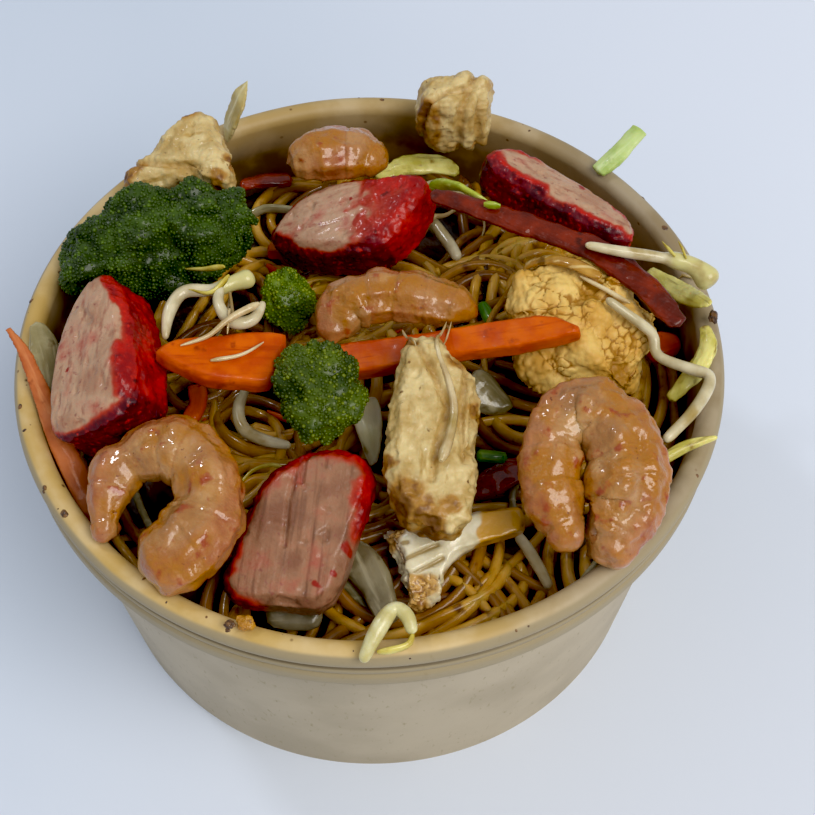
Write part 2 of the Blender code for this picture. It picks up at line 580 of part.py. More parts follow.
# Where the middle of each topping lies on the pile, in millimetres from the bowl's axis.
PLACES = {
    "onion_petal": (0.5, -51.5),
    "onion_shell": (-14.5, -57.5),
    "cabbage_curl": (-67, -5.5),
    "pepper_short": (27, -26),
    "pepper_stub": (-26, 56.5),
    "carrot_chunk": (64.5, 8),
    "carrot_back": (-20, 36.5),
    "leek_pale": (10.5, 59.5),
    "onion_triangle": (26, -6),
    "onion_wedge": (-0.5, -16.5),
    "scallion_ring": (25.5, -23.5),
    "scallion_stub": (25.5, 14.5),
    "scallion_light": (28.5, 47.5),
    "cabbage_rib": (66.5, -6.5),
    "carrot_chip": (-38, -7.5),
    "sprout_arc": (-22.5, -14.5),
    "sprout_slant": (33.5, -45),
    "leaf_blade": (-31.5, 61),
    "carrot_strip": (-63, -22),
    "pork_back": (-5, 32),
    "broccoli_large": (-46, 20.5),
    "chicken_left": (-41, 41.5),
    "pork_left": (-52, -11.5),
    "cauliflower_large": (44, 2.5),
    "pork_right": (40, 30),
    "pepper_long": (38.5, 13),
    "cabbage_strip": (66.5, 13),
    "prawn_back": (-9, 46.5),
    "chicken_back": (19, 62),
    "leek_stick": (56.5, 51.5),
    "pork_front": (-13.5, -45.5),
    "cauliflower_slice": (16, -48),
    "prawn_left": (-39, -45),
    "sprout_tendril": (64, -29.5),
    "prawn_right": (43.5, -40.5),
    "carrot_long": (15.5, -7.5),
    "prawn_middle": (6, 2.5),
    "carrot_pointed": (-29.5, -13.5),
    "sprout_curl": (-32.5, 1.5),
    "sprout_hook": (-26, -2),
    "broccoli_upper": (-18.5, 16.5),
    "broccoli_lower": (-9.5, -21.5),
    "chicken_middle": (12.5, -30.5),
    "sprout_stem": (16.5, 38),
    "sprout_headed": (17.5, 51.5),
    "sprout_long": (58, 10),
    "sprout_bent": (59.5, -14),
    "sprout_fork": (4.5, -70),
}


def test_points(mesh, matrix, swell):
    """Corners, edge middles and face middles of a mesh, pushed out by a small distance."""
    corners = [v.co + v.normal * swell for v in mesh.vertices]
    points = list(corners)
    points += [(corners[e.vertices[0]] + corners[e.vertices[1]]) / 2 for e in mesh.edges]
    points += [sum((corners[i] for i in p.vertices), Vector()) / len(p.vertices) for p in mesh.polygons]
    return [matrix @ p for p in points]


def swollen_tree(mesh, matrix, swell):
    corners = [matrix @ (v.co + v.normal * swell) for v in mesh.vertices]
    return BVHTree.FromPolygons(corners, [tuple(p.vertices) for p in mesh.polygons])


class Pile:
    """What lies in the bowl so far, for a new piece to rest on."""

    def __init__(self):
        self.corners = []
        self.faces = []
        self.points = []
        self.tree = None

    def add(self, piece):
        matrix = piece.matrix_basis
        start = len(self.corners)
        self.corners += [matrix @ v.co for v in piece.data.vertices]
        self.faces += [tuple(i + start for i in p.vertices) for p in piece.data.polygons]
        self.points += test_points(piece.data, matrix, 0)
        self.tree = BVHTree.FromPolygons(self.corners, self.faces)

    def fall(self, piece):
        """How far a piece can drop before it comes within the gap of the pile."""
        matrix = piece.matrix_basis
        down, up = Vector((0, 0, -1)), Vector((0, 0, 1))
        tree = swollen_tree(piece.data, matrix, GAP)
        probes = test_points(piece.data, matrix, GAP)
        falls = [self.tree.ray_cast(p, down)[3] for p in probes]
        low = [min(p[axis] for p in probes) for axis in range(2)]
        high = [max(p[axis] for p in probes) for axis in range(2)]
        for p in self.points:
            if low[0] <= p.x <= high[0] and low[1] <= p.y <= high[1]:
                falls.append(tree.ray_cast(p, up)[3])
        return min(f for f in falls if f is not None)


def lay_toppings(pile):
    """Drops each topping straight down onto the pile, from the bottom one up."""
    start = 2 * BOWL_HEIGHT
    for name, colour, make, turn in TOPPINGS:
        piece = add_piece(name, make(), colour)
        x, y = PLACES[name]
        piece.rotation_euler = Euler([math.radians(a) for a in turn])
        piece.location = (x * MM, y * MM, start)
        piece.location.z -= pile.fall(piece) - GAP / 2
        pile.add(piece)


def main():
    clear_scene()
    pile = Pile()
    pile.add(paper_bowl())
    core = noodle_core()
    pile.add(core)
    lay_toppings(pile)
    toppings = Pile()
    for name, *_ in TOPPINGS:
        toppings.add(bpy.data.objects[name])
    toppings.add(bpy.data.objects["paper_bowl"])
    add_noodles(core, toppings.tree)


main()
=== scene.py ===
# %% [markdown]
# # A noodle takeaway bowl
#
# A round kraft-paper bowl stands on a pale table, heaped with stir-fried noodles, roast pork,
# prawns, chicken and vegetables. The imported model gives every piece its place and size. This
# script gives each one its skin: the relief that a knife, a wok or a plant leaves on it, and the
# finish of wet food. It starts by loading that model and keeping the size of its box.

# %% Load the frame
import json
import math
import random

import bmesh
import bpy
import numpy as np
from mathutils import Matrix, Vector, noise
from mathutils.bvhtree import BVHTree


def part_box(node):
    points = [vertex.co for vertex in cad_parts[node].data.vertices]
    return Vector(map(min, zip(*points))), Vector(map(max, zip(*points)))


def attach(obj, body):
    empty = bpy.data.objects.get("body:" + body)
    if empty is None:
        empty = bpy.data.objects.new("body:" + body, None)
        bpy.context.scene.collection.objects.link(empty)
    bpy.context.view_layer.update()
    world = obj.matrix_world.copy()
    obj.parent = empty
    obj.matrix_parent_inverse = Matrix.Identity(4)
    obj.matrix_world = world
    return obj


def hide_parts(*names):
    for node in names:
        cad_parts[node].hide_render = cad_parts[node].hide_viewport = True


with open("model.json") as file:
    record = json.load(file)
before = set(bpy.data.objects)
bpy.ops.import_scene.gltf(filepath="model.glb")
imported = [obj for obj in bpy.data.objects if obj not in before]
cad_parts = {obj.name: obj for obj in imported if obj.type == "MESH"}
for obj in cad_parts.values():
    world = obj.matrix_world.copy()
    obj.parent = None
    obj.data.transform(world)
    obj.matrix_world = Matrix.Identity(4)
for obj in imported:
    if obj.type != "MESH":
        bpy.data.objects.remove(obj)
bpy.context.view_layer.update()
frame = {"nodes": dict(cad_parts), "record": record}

MM = 0.001
nodes = frame["nodes"]
print("loaded", len(nodes), "pieces")

# %% [markdown]
# ## Colours and nodes
#
# Colours are given as sRGB hex values, but a renderer mixes light, so it needs them
# linear. One function turns one into the other. Another adds a node with its settings, and an
# input may be given a number, a colour's hex value or another node's output.

# %% Colours and nodes
def colour(code):
    """An sRGB hex colour as a linear colour with full alpha."""
    parts = [int(code[i : i + 2], 16) / 255 for i in (1, 3, 5)]
    linear = [c / 12.92 if c <= 0.04045 else ((c + 0.055) / 1.055) ** 2.4 for c in parts]
    return (*linear, 1)


def add_node(tree, kind, inputs=None, **settings):
    """Adds a node with its settings, and sets or links its inputs by name or number."""
    made = tree.nodes.new(kind)
    for name, value in settings.items():
        setattr(made, name, value)
    for name, value in (inputs or {}).items():
        if isinstance(value, str) and value.startswith("#"):
            value = colour(value)
        if isinstance(value, bpy.types.NodeSocket):
            tree.links.new(value, made.inputs[name])
        else:
            made.inputs[name].default_value = value
    return made


# %% [markdown]
# ## Patterns that food shares
#
# Cooked food is never one flat colour: it is mottled where it browned, took up sauce or thinned.
# Two patterns do most of that work. A mottle is soft patches of two colours with a real size. A
# wrinkle is fine relief that only bends the light, for what is too small to model.

# %% Patterns that food shares
def mottle(tree, size, low, high, edge=(0.35, 0.65), detail=4.0, place=None, stretch=None):
    """Soft patches of two colours, of a size in millimetres. Returns the colour's socket."""
    place = place or add_node(tree, "ShaderNodeTexCoord").outputs["Object"]
    if stretch:
        place = add_node(tree, "ShaderNodeMapping", {"Vector": place, "Scale": stretch}).outputs[0]
    patches = add_node(
        tree, "ShaderNodeTexNoise", {"Vector": place, "Scale": 1 / (size * MM), "Detail": detail}
    )
    share = add_node(
        tree, "ShaderNodeMapRange",
        {"Value": patches.outputs[0], "From Min": edge[0], "From Max": edge[1]},
        interpolation_type="SMOOTHSTEP",
    )
    mixed = add_node(
        tree, "ShaderNodeMix", {0: share.outputs[0], 6: low, 7: high}, data_type="RGBA"
    )
    return mixed.outputs[2]


def tinted(tree, name, low, high, edge=(0.0, 1.0)):
    """Two colours shared out by a piece's own painted attribute. Returns the colour's socket."""
    painted = add_node(tree, "ShaderNodeAttribute", attribute_name=name)
    share = add_node(
        tree, "ShaderNodeMapRange",
        {"Value": painted.outputs["Fac"], "From Min": edge[0], "From Max": edge[1]},
        interpolation_type="SMOOTHSTEP",
    )
    mixed = add_node(
        tree, "ShaderNodeMix", {0: share.outputs[0], 6: low, 7: high}, data_type="RGBA"
    )
    return mixed.outputs[2]


def wrinkle(tree, size, depth, detail=3.0, place=None, stretch=None, under=None):
    """Fine relief of a size and depth in millimetres. Returns the bent normal's socket."""
    place = place or add_node(tree, "ShaderNodeTexCoord").outputs["Object"]
    if stretch:
        place = add_node(tree, "ShaderNodeMapping", {"Vector": place, "Scale": stretch}).outputs[0]
    bumps = add_node(
        tree, "ShaderNodeTexNoise", {"Vector": place, "Scale": 1 / (size * MM), "Detail": detail}
    )
    inputs = {"Height": bumps.outputs[0], "Distance": depth * MM, "Strength": 1.0}
    if under:
        inputs["Normal"] = under
    return add_node(tree, "ShaderNodeBump", inputs).outputs[0]

# %% [markdown]
# A material is closed by one function, so that all of them are set the same way: how rough
# the surface is, how far light goes into it, and how wet the film on top is.

# %% Closing a material
def finish(name, base, normal=None, rough=0.5, shine=0.5, glow=None, coat=(0.0, 0.03)):
    """Closes a material: its colour and normal go to the shader, and the rest is set there.

    Shine is the specular level. Glow is how much light enters the food, then how far red, green
    and blue travel in it, in millimetres. Coat is a wet film's weight and its roughness.
    """
    tree = base.id_data
    made = next(m for m in bpy.data.materials if m.node_tree == tree)
    shader = tree.nodes["Principled BSDF"]
    tree.links.new(base, shader.inputs["Base Color"])
    if normal:
        tree.links.new(normal, shader.inputs["Normal"])
    values = {
        "Roughness": rough, "Specular IOR Level": shine,
        "Coat Weight": coat[0], "Coat Roughness": coat[1],
    }
    if glow:
        values["Subsurface Weight"] = glow[0]
        values["Subsurface Radius"] = [reach * MM for reach in glow[1:]]
        values["Subsurface Scale"] = 1.0
    for socket, value in values.items():
        shader.inputs[socket].default_value = value
    made.name = name
    return made


def blank():
    """A new material's node tree, with nothing in it but the shader and the output."""
    made = bpy.data.materials.new("blank")
    made.use_nodes = True
    return made.node_tree


# %% [markdown]
# ## Meshes to work on
#
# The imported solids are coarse, as a solid for contact has to be. Each one is remade of small even
# faces, as if cast again in a finer wax, and smoothed. Then relief can be pushed in and out along
# its normals, and values can be painted on its points for the materials to read.

# %% Meshes to work on
def merged(node):
    """A copy of a node's mesh with its loose triangles joined."""
    mesh = nodes[node].data.copy()
    bm = bmesh.new()
    bm.from_mesh(mesh)
    bmesh.ops.remove_doubles(bm, verts=bm.verts, dist=0.002 * MM)
    bm.to_mesh(mesh)
    bm.free()
    mesh.materials.clear()
    return mesh


def new_piece(name, mesh):
    piece = bpy.data.objects.new(name, mesh)
    bpy.context.scene.collection.objects.link(piece)
    return piece


def smooth_piece(bm, name):
    """Turns a bmesh into a smooth piece, and frees it."""
    mesh = bpy.data.meshes.new(name)
    bm.to_mesh(mesh)
    bm.free()
    mesh.shade_smooth()
    return new_piece(name, mesh)


def settle_modifiers(piece):
    """Turns a piece and its modifiers into a plain mesh."""
    graph = bpy.context.evaluated_depsgraph_get()
    mesh = bpy.data.meshes.new_from_object(piece.evaluated_get(graph))
    piece.modifiers.clear()
    old = piece.data
    piece.data = mesh
    bpy.data.meshes.remove(old)


def fine_piece(node, grain, smoothing=5):
    """A node's shape remade of even faces of a size in millimetres, and smoothed."""
    piece = new_piece("dressed_" + node, merged(node))
    remesh = piece.modifiers.new("even", "REMESH")
    remesh.mode = "VOXEL"
    remesh.voxel_size = grain * MM
    soften = piece.modifiers.new("soft", "SMOOTH")
    soften.factor = 0.5
    soften.iterations = smoothing
    settle_modifiers(piece)
    piece.data.shade_smooth()
    return piece


def rounded_piece(node, levels=2):
    """A slender node's shape, subdivided, so that its few sides become round."""
    piece = new_piece("dressed_" + node, merged(node))
    bm = bmesh.new()
    bm.from_mesh(piece.data)
    bmesh.ops.join_triangles(
        bm, faces=bm.faces, angle_face_threshold=math.radians(60),
        angle_shape_threshold=math.radians(70),
    )
    bm.to_mesh(piece.data)
    bm.free()
    subdivide = piece.modifiers.new("round", "SUBSURF")
    subdivide.levels = levels
    subdivide.render_levels = levels
    settle_modifiers(piece)
    piece.data.shade_smooth()
    return piece

# %% [markdown]
# A fine mesh is finished in two ways. Relief moves its points, so that the shape is real from
# every side. Paint stores a number on each point, which its material reads as an attribute.

# %% Relief and paint
def relief(piece, depth):
    """Moves each point out along its normal by depth(place, normal), in millimetres."""
    mesh = piece.data
    moved = [v.co + v.normal * depth(v.co, v.normal) * MM for v in mesh.vertices]
    mesh.vertices.foreach_set("co", np.array(moved, dtype=np.float32).ravel())
    mesh.update()


def paint(piece, name, values):
    """Stores one number for each point of a piece, for its material to read."""
    layer = piece.data.attributes.new(name, "FLOAT", "POINT")
    layer.data.foreach_set("value", np.array(values, dtype=np.float32))


def dress(piece, node, material):
    """Gives a finished piece its material, and lets it stand for its node."""
    piece.data.materials.clear()
    piece.data.materials.append(material)
    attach(piece, "root")
    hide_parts(node)


def dress_loose(piece, material=None):
    """Lets a piece that stands for no node ride along with the rest."""
    if material:
        piece.data.materials.append(material)
    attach(piece, "root")

# %% [markdown]
# Relief needs shapes to follow: smooth noise for lumps, seams between cells for curds, and
# packed domes for florets. Lines and spots are drawn where the photograph shows them.

# %% Shapes for relief
def uneven(place, size, seed=0.0):
    """Smooth noise from about -1 to 1, with lumps of a size in millimetres."""
    return noise.noise(place / (size * MM) + Vector((seed, seed * 0.7, -seed)))


def cell_gap(place, size, seed=0.0):
    """How far a point is from the nearest seam between cells: 0 on it, about 1 in a cell."""
    near, far = noise.voronoi(place / (size * MM) + Vector((seed, -seed, seed * 0.3)))[0][:2]
    return min(1.0, (far - near) * 1.6)


def dome(place, size, seed=0.0):
    """Packed round bumps of a size in millimetres: 1 on the top of one, 0 in the seams."""
    near = noise.voronoi(place / (size * MM) + Vector((seed, -seed, seed * 0.3)))[0][0]
    return max(0.0, 1 - 1.7 * near * near)


def ramp(value, low, high):
    """A smooth step from 0 at low to 1 at high."""
    share = min(1.0, max(0.0, (value - low) / (high - low)))
    return share * share * (3 - 2 * share)


def near_line(place, points, width):
    """Seen from above, 1 on a line drawn in millimetres and 0 beyond a width from it."""
    spot = Vector((place.x / MM, place.y / MM))
    nearest = math.inf
    for start, end in zip(points, points[1:]):
        start, way = Vector(start), Vector(end) - Vector(start)
        share = min(1.0, max(0.0, (spot - start).dot(way) / way.length_squared))
        nearest = min(nearest, (spot - start - way * share).length)
    return 1 - ramp(nearest, 0.2 * width, width)


def near_spots(place, spots):
    """Seen from above, 1 in any of some ragged round spots in millimetres, and 0 outside."""
    x = place.x / MM + 1.3 * uneven(place, 3.0, 2.0)
    y = place.y / MM + 1.3 * uneven(place, 3.0, 5.0)
    return max(1 - ramp(math.hypot(x - a, y - b), 0.4 * r, 1.1 * r) for a, b, r in spots)

# %% [markdown]
# Fibres and veins follow the piece they are in. Its own directions are found from its points,
# or given by how it was cut, and each place is then told along these directions.

# %% A piece's own directions
def own_axes(node):
    """A node's long, wide and thin directions, the thin one pointing up."""
    points = np.array([v.co for v in nodes[node].data.vertices])
    long, wide, thin = np.linalg.svd(points - points.mean(0), full_matrices=False)[2]
    thin = thin * (1 if thin[2] > 0 else -1)
    long = long * (1 if long[0] + 0.5 * long[1] > 0 else -1)
    return Vector(long), Vector(np.cross(thin, long)), Vector(thin)


def cut_axes(cut_way, fibre_way):
    """The directions of a cut slice: along its fibres, across them, and out of the cut face."""
    out = Vector(cut_way).normalized()
    across = out.cross(Vector(fibre_way)).normalized()
    return across.cross(out), across, out


def in_grain(place, axes, stretch=1.0):
    """A place along a piece's own directions, with the first one drawn out by stretch."""
    along, across, out = axes
    return Vector((place.dot(along) * stretch, place.dot(across), place.dot(out)))


def paint_grain(piece, axes):
    """Stores each point's place along the piece's own directions, so that fibres follow them."""
    layer = piece.data.attributes.new("grain", "FLOAT_VECTOR", "POINT")
    places = [in_grain(v.co, axes) for v in piece.data.vertices]
    layer.data.foreach_set("vector", np.array(places, dtype=np.float32).ravel())


# %% [markdown]
# ## The paper bowl
#
# The bowl is kraft paper, pressed and glued: a conical wall, a band where the rim was folded, and
# a lip rolled outwards. A turned profile gives that in one sweep, as on a lathe. It follows the
# same sizes as the solid, with finer steps, and the lip waves a little, because paper does.

# %% The paper bowl's shape
bowl_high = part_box("paper_bowl")[1]
LIP_RADIUS = bowl_high.x
BOWL_HEIGHT = bowl_high.z
BEAD = 2.5 * MM
PAPER = 0.6 * MM
BASE_RADIUS = 64 * MM
WALL_TOP_RADIUS = 70.5 * MM
BAND_RADIUS = LIP_RADIUS - 0.8 * MM
BAND_TOP = BOWL_HEIGHT - 5.3 * MM
BAND_BOTTOM = BOWL_HEIGHT - 12.5 * MM
WALL_SLOPE = (WALL_TOP_RADIUS - BASE_RADIUS) / (BAND_BOTTOM - 1.6 * MM)
FLOOR_RECESS = 6 * MM
FOOT_FOLD = 1.4 * MM
BOWL_SIDES = 240
WALL_STEPS = 18
LIP_STEPS = 27
OUTER_STEPS = 16
# The folds of the band: the share of the way down, and how far in, in millimetres.
BAND_FOLDS = (
    (0.0, 1.6), (0.03, 0.7), (0.08, 0.15), (0.14, -0.05), (0.22, 0.0), (0.32, 0.15), (0.38, 0.5),
    (0.42, 0.6), (0.46, 0.3), (0.52, 0.0), (0.6, -0.05), (0.8, 0.05), (0.92, 0.1), (0.97, 0.3),
    (1.0, 0.8), (1.0, 1.6), (0.99, 2.6),
)


def bowl_profile():
    """The bowl's section, as (radius, height) points from the inside floor to the outside one."""
    floor_top = FLOOR_RECESS + PAPER
    floor_edge = BASE_RADIUS + WALL_SLOPE * floor_top - PAPER - 1.5 * MM
    points = [(0.0, floor_top), (40 * MM, floor_top), (floor_edge, floor_top)]
    for i in range(WALL_STEPS + 1):
        rise = (BAND_BOTTOM - 2.6 * MM - floor_top) * i / WALL_STEPS
        height = floor_top + 1.0 * MM + rise
        points.append((BASE_RADIUS + WALL_SLOPE * height - PAPER, height))
    points.append((WALL_TOP_RADIUS - PAPER + 0.2 * MM, BAND_BOTTOM + 0.6 * MM))
    middle, bead_height = LIP_RADIUS - BEAD, BOWL_HEIGHT - BEAD
    for i in range(LIP_STEPS + 1):
        angle = math.radians(190 - 270 * i / LIP_STEPS)
        points.append((middle + BEAD * math.cos(angle), bead_height + BEAD * math.sin(angle)))
    points.append((middle + 0.3 * MM, BAND_TOP + 0.15 * MM))
    band = BAND_TOP - BAND_BOTTOM
    points += [(BAND_RADIUS - deep * MM, BAND_TOP - down * band) for down, deep in BAND_FOLDS]
    points.append((WALL_TOP_RADIUS + 0.6 * MM, BAND_BOTTOM - 0.6 * MM))
    for i in range(OUTER_STEPS + 1):
        height = (BAND_BOTTOM - 1.8 * MM) * (1 - i / OUTER_STEPS)
        points.append((BASE_RADIUS + WALL_SLOPE * height, max(height, 0.0)))
    foot = BASE_RADIUS - FOOT_FOLD
    return points + [(foot, 0.0), (foot, FLOOR_RECESS), (0.0, FLOOR_RECESS)]


def turn_bowl():
    """Sweeps the profile round, with a slight wave in the lip, and closes it on the axis."""
    bm = bmesh.new()
    rings = []
    profile = bowl_profile()
    for radius, height in profile[1:-1]:
        ring = []
        lip = ramp(height, BAND_BOTTOM, BOWL_HEIGHT)
        for i in range(BOWL_SIDES):
            angle = 2 * math.pi * i / BOWL_SIDES
            around = Vector((math.cos(angle), math.sin(angle), 0))
            wave = 0.22 * MM * lip * noise.noise(around * 2.6)
            out = radius + wave - 0.2 * MM * lip
            dip = 0.25 * MM * lip * (noise.noise(around * 3.1 + Vector((5, 0, 0))) - 0.5)
            ring.append(bm.verts.new((out * around.x, out * around.y, height + dip)))
        rings.append(ring)
    for low, high in zip(rings, rings[1:]):
        for i in range(BOWL_SIDES):
            j = (i + 1) % BOWL_SIDES
            bm.faces.new((low[i], low[j], high[j], high[i]))
    for ring, end in ((rings[0], profile[0]), (rings[-1], profile[-1])):
        centre = bm.verts.new((0, 0, end[1]))
        for i in range(BOWL_SIDES):
            bm.faces.new((ring[i], ring[(i + 1) % BOWL_SIDES], centre))
    bmesh.ops.recalc_face_normals(bm, faces=bm.faces)
    piece = smooth_piece(bm, "dressed_paper_bowl")
    piece.data.set_sharp_from_angle(angle=math.radians(45))
    return piece


bowl = turn_bowl()
print("bowl faces", len(bowl.data.polygons))

# %% [markdown]
# Kraft paper is unbleached wood pulp: a warm grey-beige with short fibres, and a dull sheen from
# its water-proof film. Inside, oil from the food has soaked in and made it brown, and specks of
# sauce have dried on the lip. How soaked each point is gets painted on the mesh, by its height
# and by how far in it faces. The crease under the lip is painted dark, as shade and grime, and
# the band below it a little darker, as the shade under the lip.

# %% The kraft paper
def paint_soak(piece):
    """Paints oily paper inside, the lip and dry lip, and painted shade on the crease and band."""
    soak, lip, shaded_crease, band, dry = [], [], [], [], []
    for vertex in piece.data.vertices:
        x, y, z = vertex.co
        out = Vector((x, y, 0))
        distance, facing = out.length, vertex.normal.dot(out)
        spill = uneven(vertex.co, 9, 2.0) * 1.2 * MM
        faces_in = facing <= 0.2 * distance and z > FLOOR_RECESS + 0.1 * MM
        inside = ramp(BOWL_HEIGHT - z + spill, 0.5 * MM, 10 * MM)
        soak.append(inside if faces_in else 0.0)
        inward = vertex.normal.z - 1.2 * facing / max(distance, MM) + spill / MM * 0.12
        above = ramp(z, BAND_TOP, BAND_TOP + 1.0 * MM) * ramp(distance, 66 * MM, 69 * MM)
        lip.append(above * ramp(inward, -0.3, 0.35))
        outside = ramp(distance, LIP_RADIUS - 3.2 * MM, LIP_RADIUS - 2.2 * MM)
        # Painted shade and grime: the crease under the lip is dark.
        shaded_crease.append(outside * ramp(abs(z - BAND_TOP + 0.1 * MM), 1.1 * MM, 0.2 * MM))
        # Painted shade: the band under the lip is a little darker.
        band.append(outside * ramp(z, BAND_BOTTOM - 0.5 * MM, BAND_BOTTOM + 0.5 * MM))
        dry.append(max(ramp(x, 0, 60 * MM), 0.5 * ramp(y, 30 * MM, 75 * MM)))
    painted = {"soak": soak, "lip": lip, "shaded_crease": shaded_crease, "band": band, "dry": dry}
    for name, values in painted.items():
        paint(piece, name, values)


def kraft_paper():
    """Pressed brown paper with a film: fibres show, gloss is low, and oil darkens it inside."""
    tree = blank()
    clean = mottle(tree, 26, "#A99A7E", "#B9AA8E", detail=6)
    fibres = mottle(tree, 1.1, clean, "#988863", edge=(0.6, 0.78), stretch=(1, 1, 0.35))
    oily = mottle(tree, 7, "#5E441C", "#87683A", detail=5)
    oiled_lip = mottle(tree, 12, "#BF9E58", "#D0B682", detail=5)
    dry_lip = mottle(tree, 12, "#928060", "#A6967A", detail=5)
    lipped = tinted(tree, "dry", oiled_lip, dry_lip)
    # Painted shade: the band is darker, and the crease darker still, with grime in it too.
    band_shaded = tinted(tree, "band", fibres, "#9A8A68", edge=(0.0, 1.4))
    crease_shaded = tinted(tree, "shaded_crease", band_shaded, "#4E4028", edge=(0.2, 1.2))
    rim = tinted(tree, "lip", crease_shaded, lipped)
    inside = tinted(tree, "soak", rim, oily, edge=(0.0, 1.0))
    place = add_node(tree, "ShaderNodeTexCoord").outputs["Object"]
    dots = add_node(
        tree, "ShaderNodeTexVoronoi", {"Vector": place, "Scale": 1 / (5.5 * MM), "Randomness": 1.0}
    )
    small = add_node(
        tree, "ShaderNodeMapRange",
        {"Value": dots.outputs["Distance"], "From Min": 0.1, "From Max": 0.05},
    )
    lip = add_node(tree, "ShaderNodeAttribute", attribute_name="lip")
    shown = add_node(
        tree, "ShaderNodeMath", {0: small.outputs[0], 1: lip.outputs["Fac"]}, operation="MULTIPLY"
    )
    speckled = add_node(
        tree, "ShaderNodeMix", {0: shown.outputs[0], 6: inside, 7: "#6A4A24"}, data_type="RGBA"
    )
    pressed = wrinkle(tree, 0.9, 0.03, detail=5)
    waved = wrinkle(tree, 14, 0.25, detail=2, under=pressed)
    return finish(
        "kraft_paper", speckled.outputs[2], waved, rough=0.5, shine=0.35, coat=(0.08, 0.4)
    )


paint_soak(bowl)
dress(bowl, "paper_bowl", kraft_paper())

# %% [markdown]
# ## What lies where
#
# Noodles, roots and crumbs have to lie on real surfaces. Three search trees answer where those
# are: the heap on its own, all toppings on their own, and everything together. A ray cast down
# finds the top of what is there, and a ray cast up from inside the heap finds the underside of
# the lowest topping.

# %% What lies where
TOPPINGS = [name for name in nodes if name not in ("paper_bowl", "noodle_heap")]
UP = Vector((0, 0, 1))
OVER_ALL = 200 * MM
IN_THE_HEAP = 20 * MM


def search_tree(names):
    """One tree of the faces of several nodes, for rays to be cast at."""
    corners, faces = [], []
    for name in names:
        start = len(corners)
        corners += [v.co for v in nodes[name].data.vertices]
        faces += [tuple(i + start for i in p.vertices) for p in nodes[name].data.polygons]
    return BVHTree.FromPolygons(corners, faces)


heap_tree = search_tree(["noodle_heap"])
topping_tree = search_tree(TOPPINGS)
all_tree = search_tree(list(nodes))


def top_of(tree, x, y, missing):
    """The height of a surface seen from above, or the given one where there is none."""
    hit = tree.ray_cast(Vector((x, y, OVER_ALL)), -UP)[0]
    return hit.z if hit else missing


# %% [markdown]
# ## Strands from paths
#
# Noodles, sprouts and roots are all strands: a path with a width. A Geometry Nodes tree turns
# any number of paths into tubes at once. It reads each path point's own width, sweeps a circle
# along, closes the ends and sets the material, so the same tree serves every strand here.

# %% Strands from paths
def new_tree(name, output, **inputs):
    """A Geometry Nodes tree with named inputs, and the sockets that carry them."""
    tree = bpy.data.node_groups.new(name, "GeometryNodeTree")
    for title, kind in inputs.items():
        tree.interface.new_socket(title, in_out="INPUT", socket_type="NodeSocket" + kind)
    tree.interface.new_socket(output, in_out="OUTPUT", socket_type="NodeSocketGeometry")
    return tree, add_node(tree, "NodeGroupInput").outputs


def strand_tree():
    tree, given = new_tree(
        "strands_from_paths", "Strands",
        Paths="Geometry", Sides="Int", Flatness="Float", Finish="Material",
    )
    curves = add_node(tree, "GeometryNodeMeshToCurve", {"Mesh": given["Paths"]})
    width = add_node(
        tree, "GeometryNodeInputNamedAttribute", {"Name": "radius_along"}, data_type="FLOAT"
    )
    sized = add_node(
        tree, "GeometryNodeSetCurveRadius", {"Curve": curves.outputs[0], "Radius": width.outputs[0]}
    )
    circle = add_node(
        tree, "GeometryNodeCurvePrimitiveCircle", {"Resolution": given["Sides"], "Radius": 1.0}
    )
    squash = add_node(tree, "ShaderNodeCombineXYZ", {"X": given["Flatness"], "Y": 1.0, "Z": 1.0})
    oval = add_node(
        tree, "GeometryNodeTransform", {"Geometry": circle.outputs[0], "Scale": squash.outputs[0]}
    )
    swept = add_node(
        tree, "GeometryNodeCurveToMesh",
        {"Curve": sized.outputs[0], "Profile Curve": oval.outputs[0], "Fill Caps": True},
    )
    if "Scale" in swept.inputs:
        tree.links.new(width.outputs[0], swept.inputs["Scale"])
    soft = add_node(tree, "GeometryNodeSetShadeSmooth", {"Geometry": swept.outputs[0]})
    real = add_node(tree, "GeometryNodeRealizeInstances", {"Geometry": soft.outputs[0]})
    done = add_node(
        tree, "GeometryNodeSetMaterial", {"Geometry": real.outputs[0], "Material": given["Finish"]}
    )
    add_node(tree, "NodeGroupOutput", {"Strands": done.outputs[0]})
    return tree


STRANDS = strand_tree()


def set_inputs(modifier, **values):
    """Sets a modifier's inputs, each by the identifier of the socket with that name."""
    for item in modifier.node_group.interface.items_tree:
        if item.item_type == "SOCKET" and item.in_out == "INPUT" and item.name in values:
            modifier[item.identifier] = values[item.name]


def make_strands(name, paths, material, sides=8, flatness=1.0):
    """Sweeps paths into one mesh. A path is a list of (place, radius) with a tint of its own."""
    places, edges, radii, tints = [], [], [], []
    for path, tint in paths:
        start = len(places)
        places += [p for p, _ in path]
        radii += [r for _, r in path]
        tints += [tint] * len(path)
        edges += [(start + i, start + i + 1) for i in range(len(path) - 1)]
    mesh = bpy.data.meshes.new(name)
    mesh.from_pydata(places, edges, [])
    piece = new_piece(name, mesh)
    paint(piece, "radius_along", radii)
    paint(piece, "tint", tints)
    modifier = piece.modifiers.new("strands", "NODES")
    modifier.node_group = STRANDS
    set_inputs(modifier, Sides=sides, Flatness=flatness, Finish=material)
    settle_modifiers(piece)
    print(name, "triangles", sum(len(p.vertices) - 2 for p in piece.data.polygons))
    return piece


# %% [markdown]
# ## The noodle heap
#
# The heap is made the way it is in the kitchen: noodles are dropped one after another, each on
# what already lies there. A height map holds the top of the heap so far. A new noodle takes its
# height from the map, is smoothed because a noodle is too stiff to follow every dip, stays under
# any topping above it, and is then added to the map. Noodles leave the pan in locks of a few
# side by side, so each path is laid several times with a small sideways step.

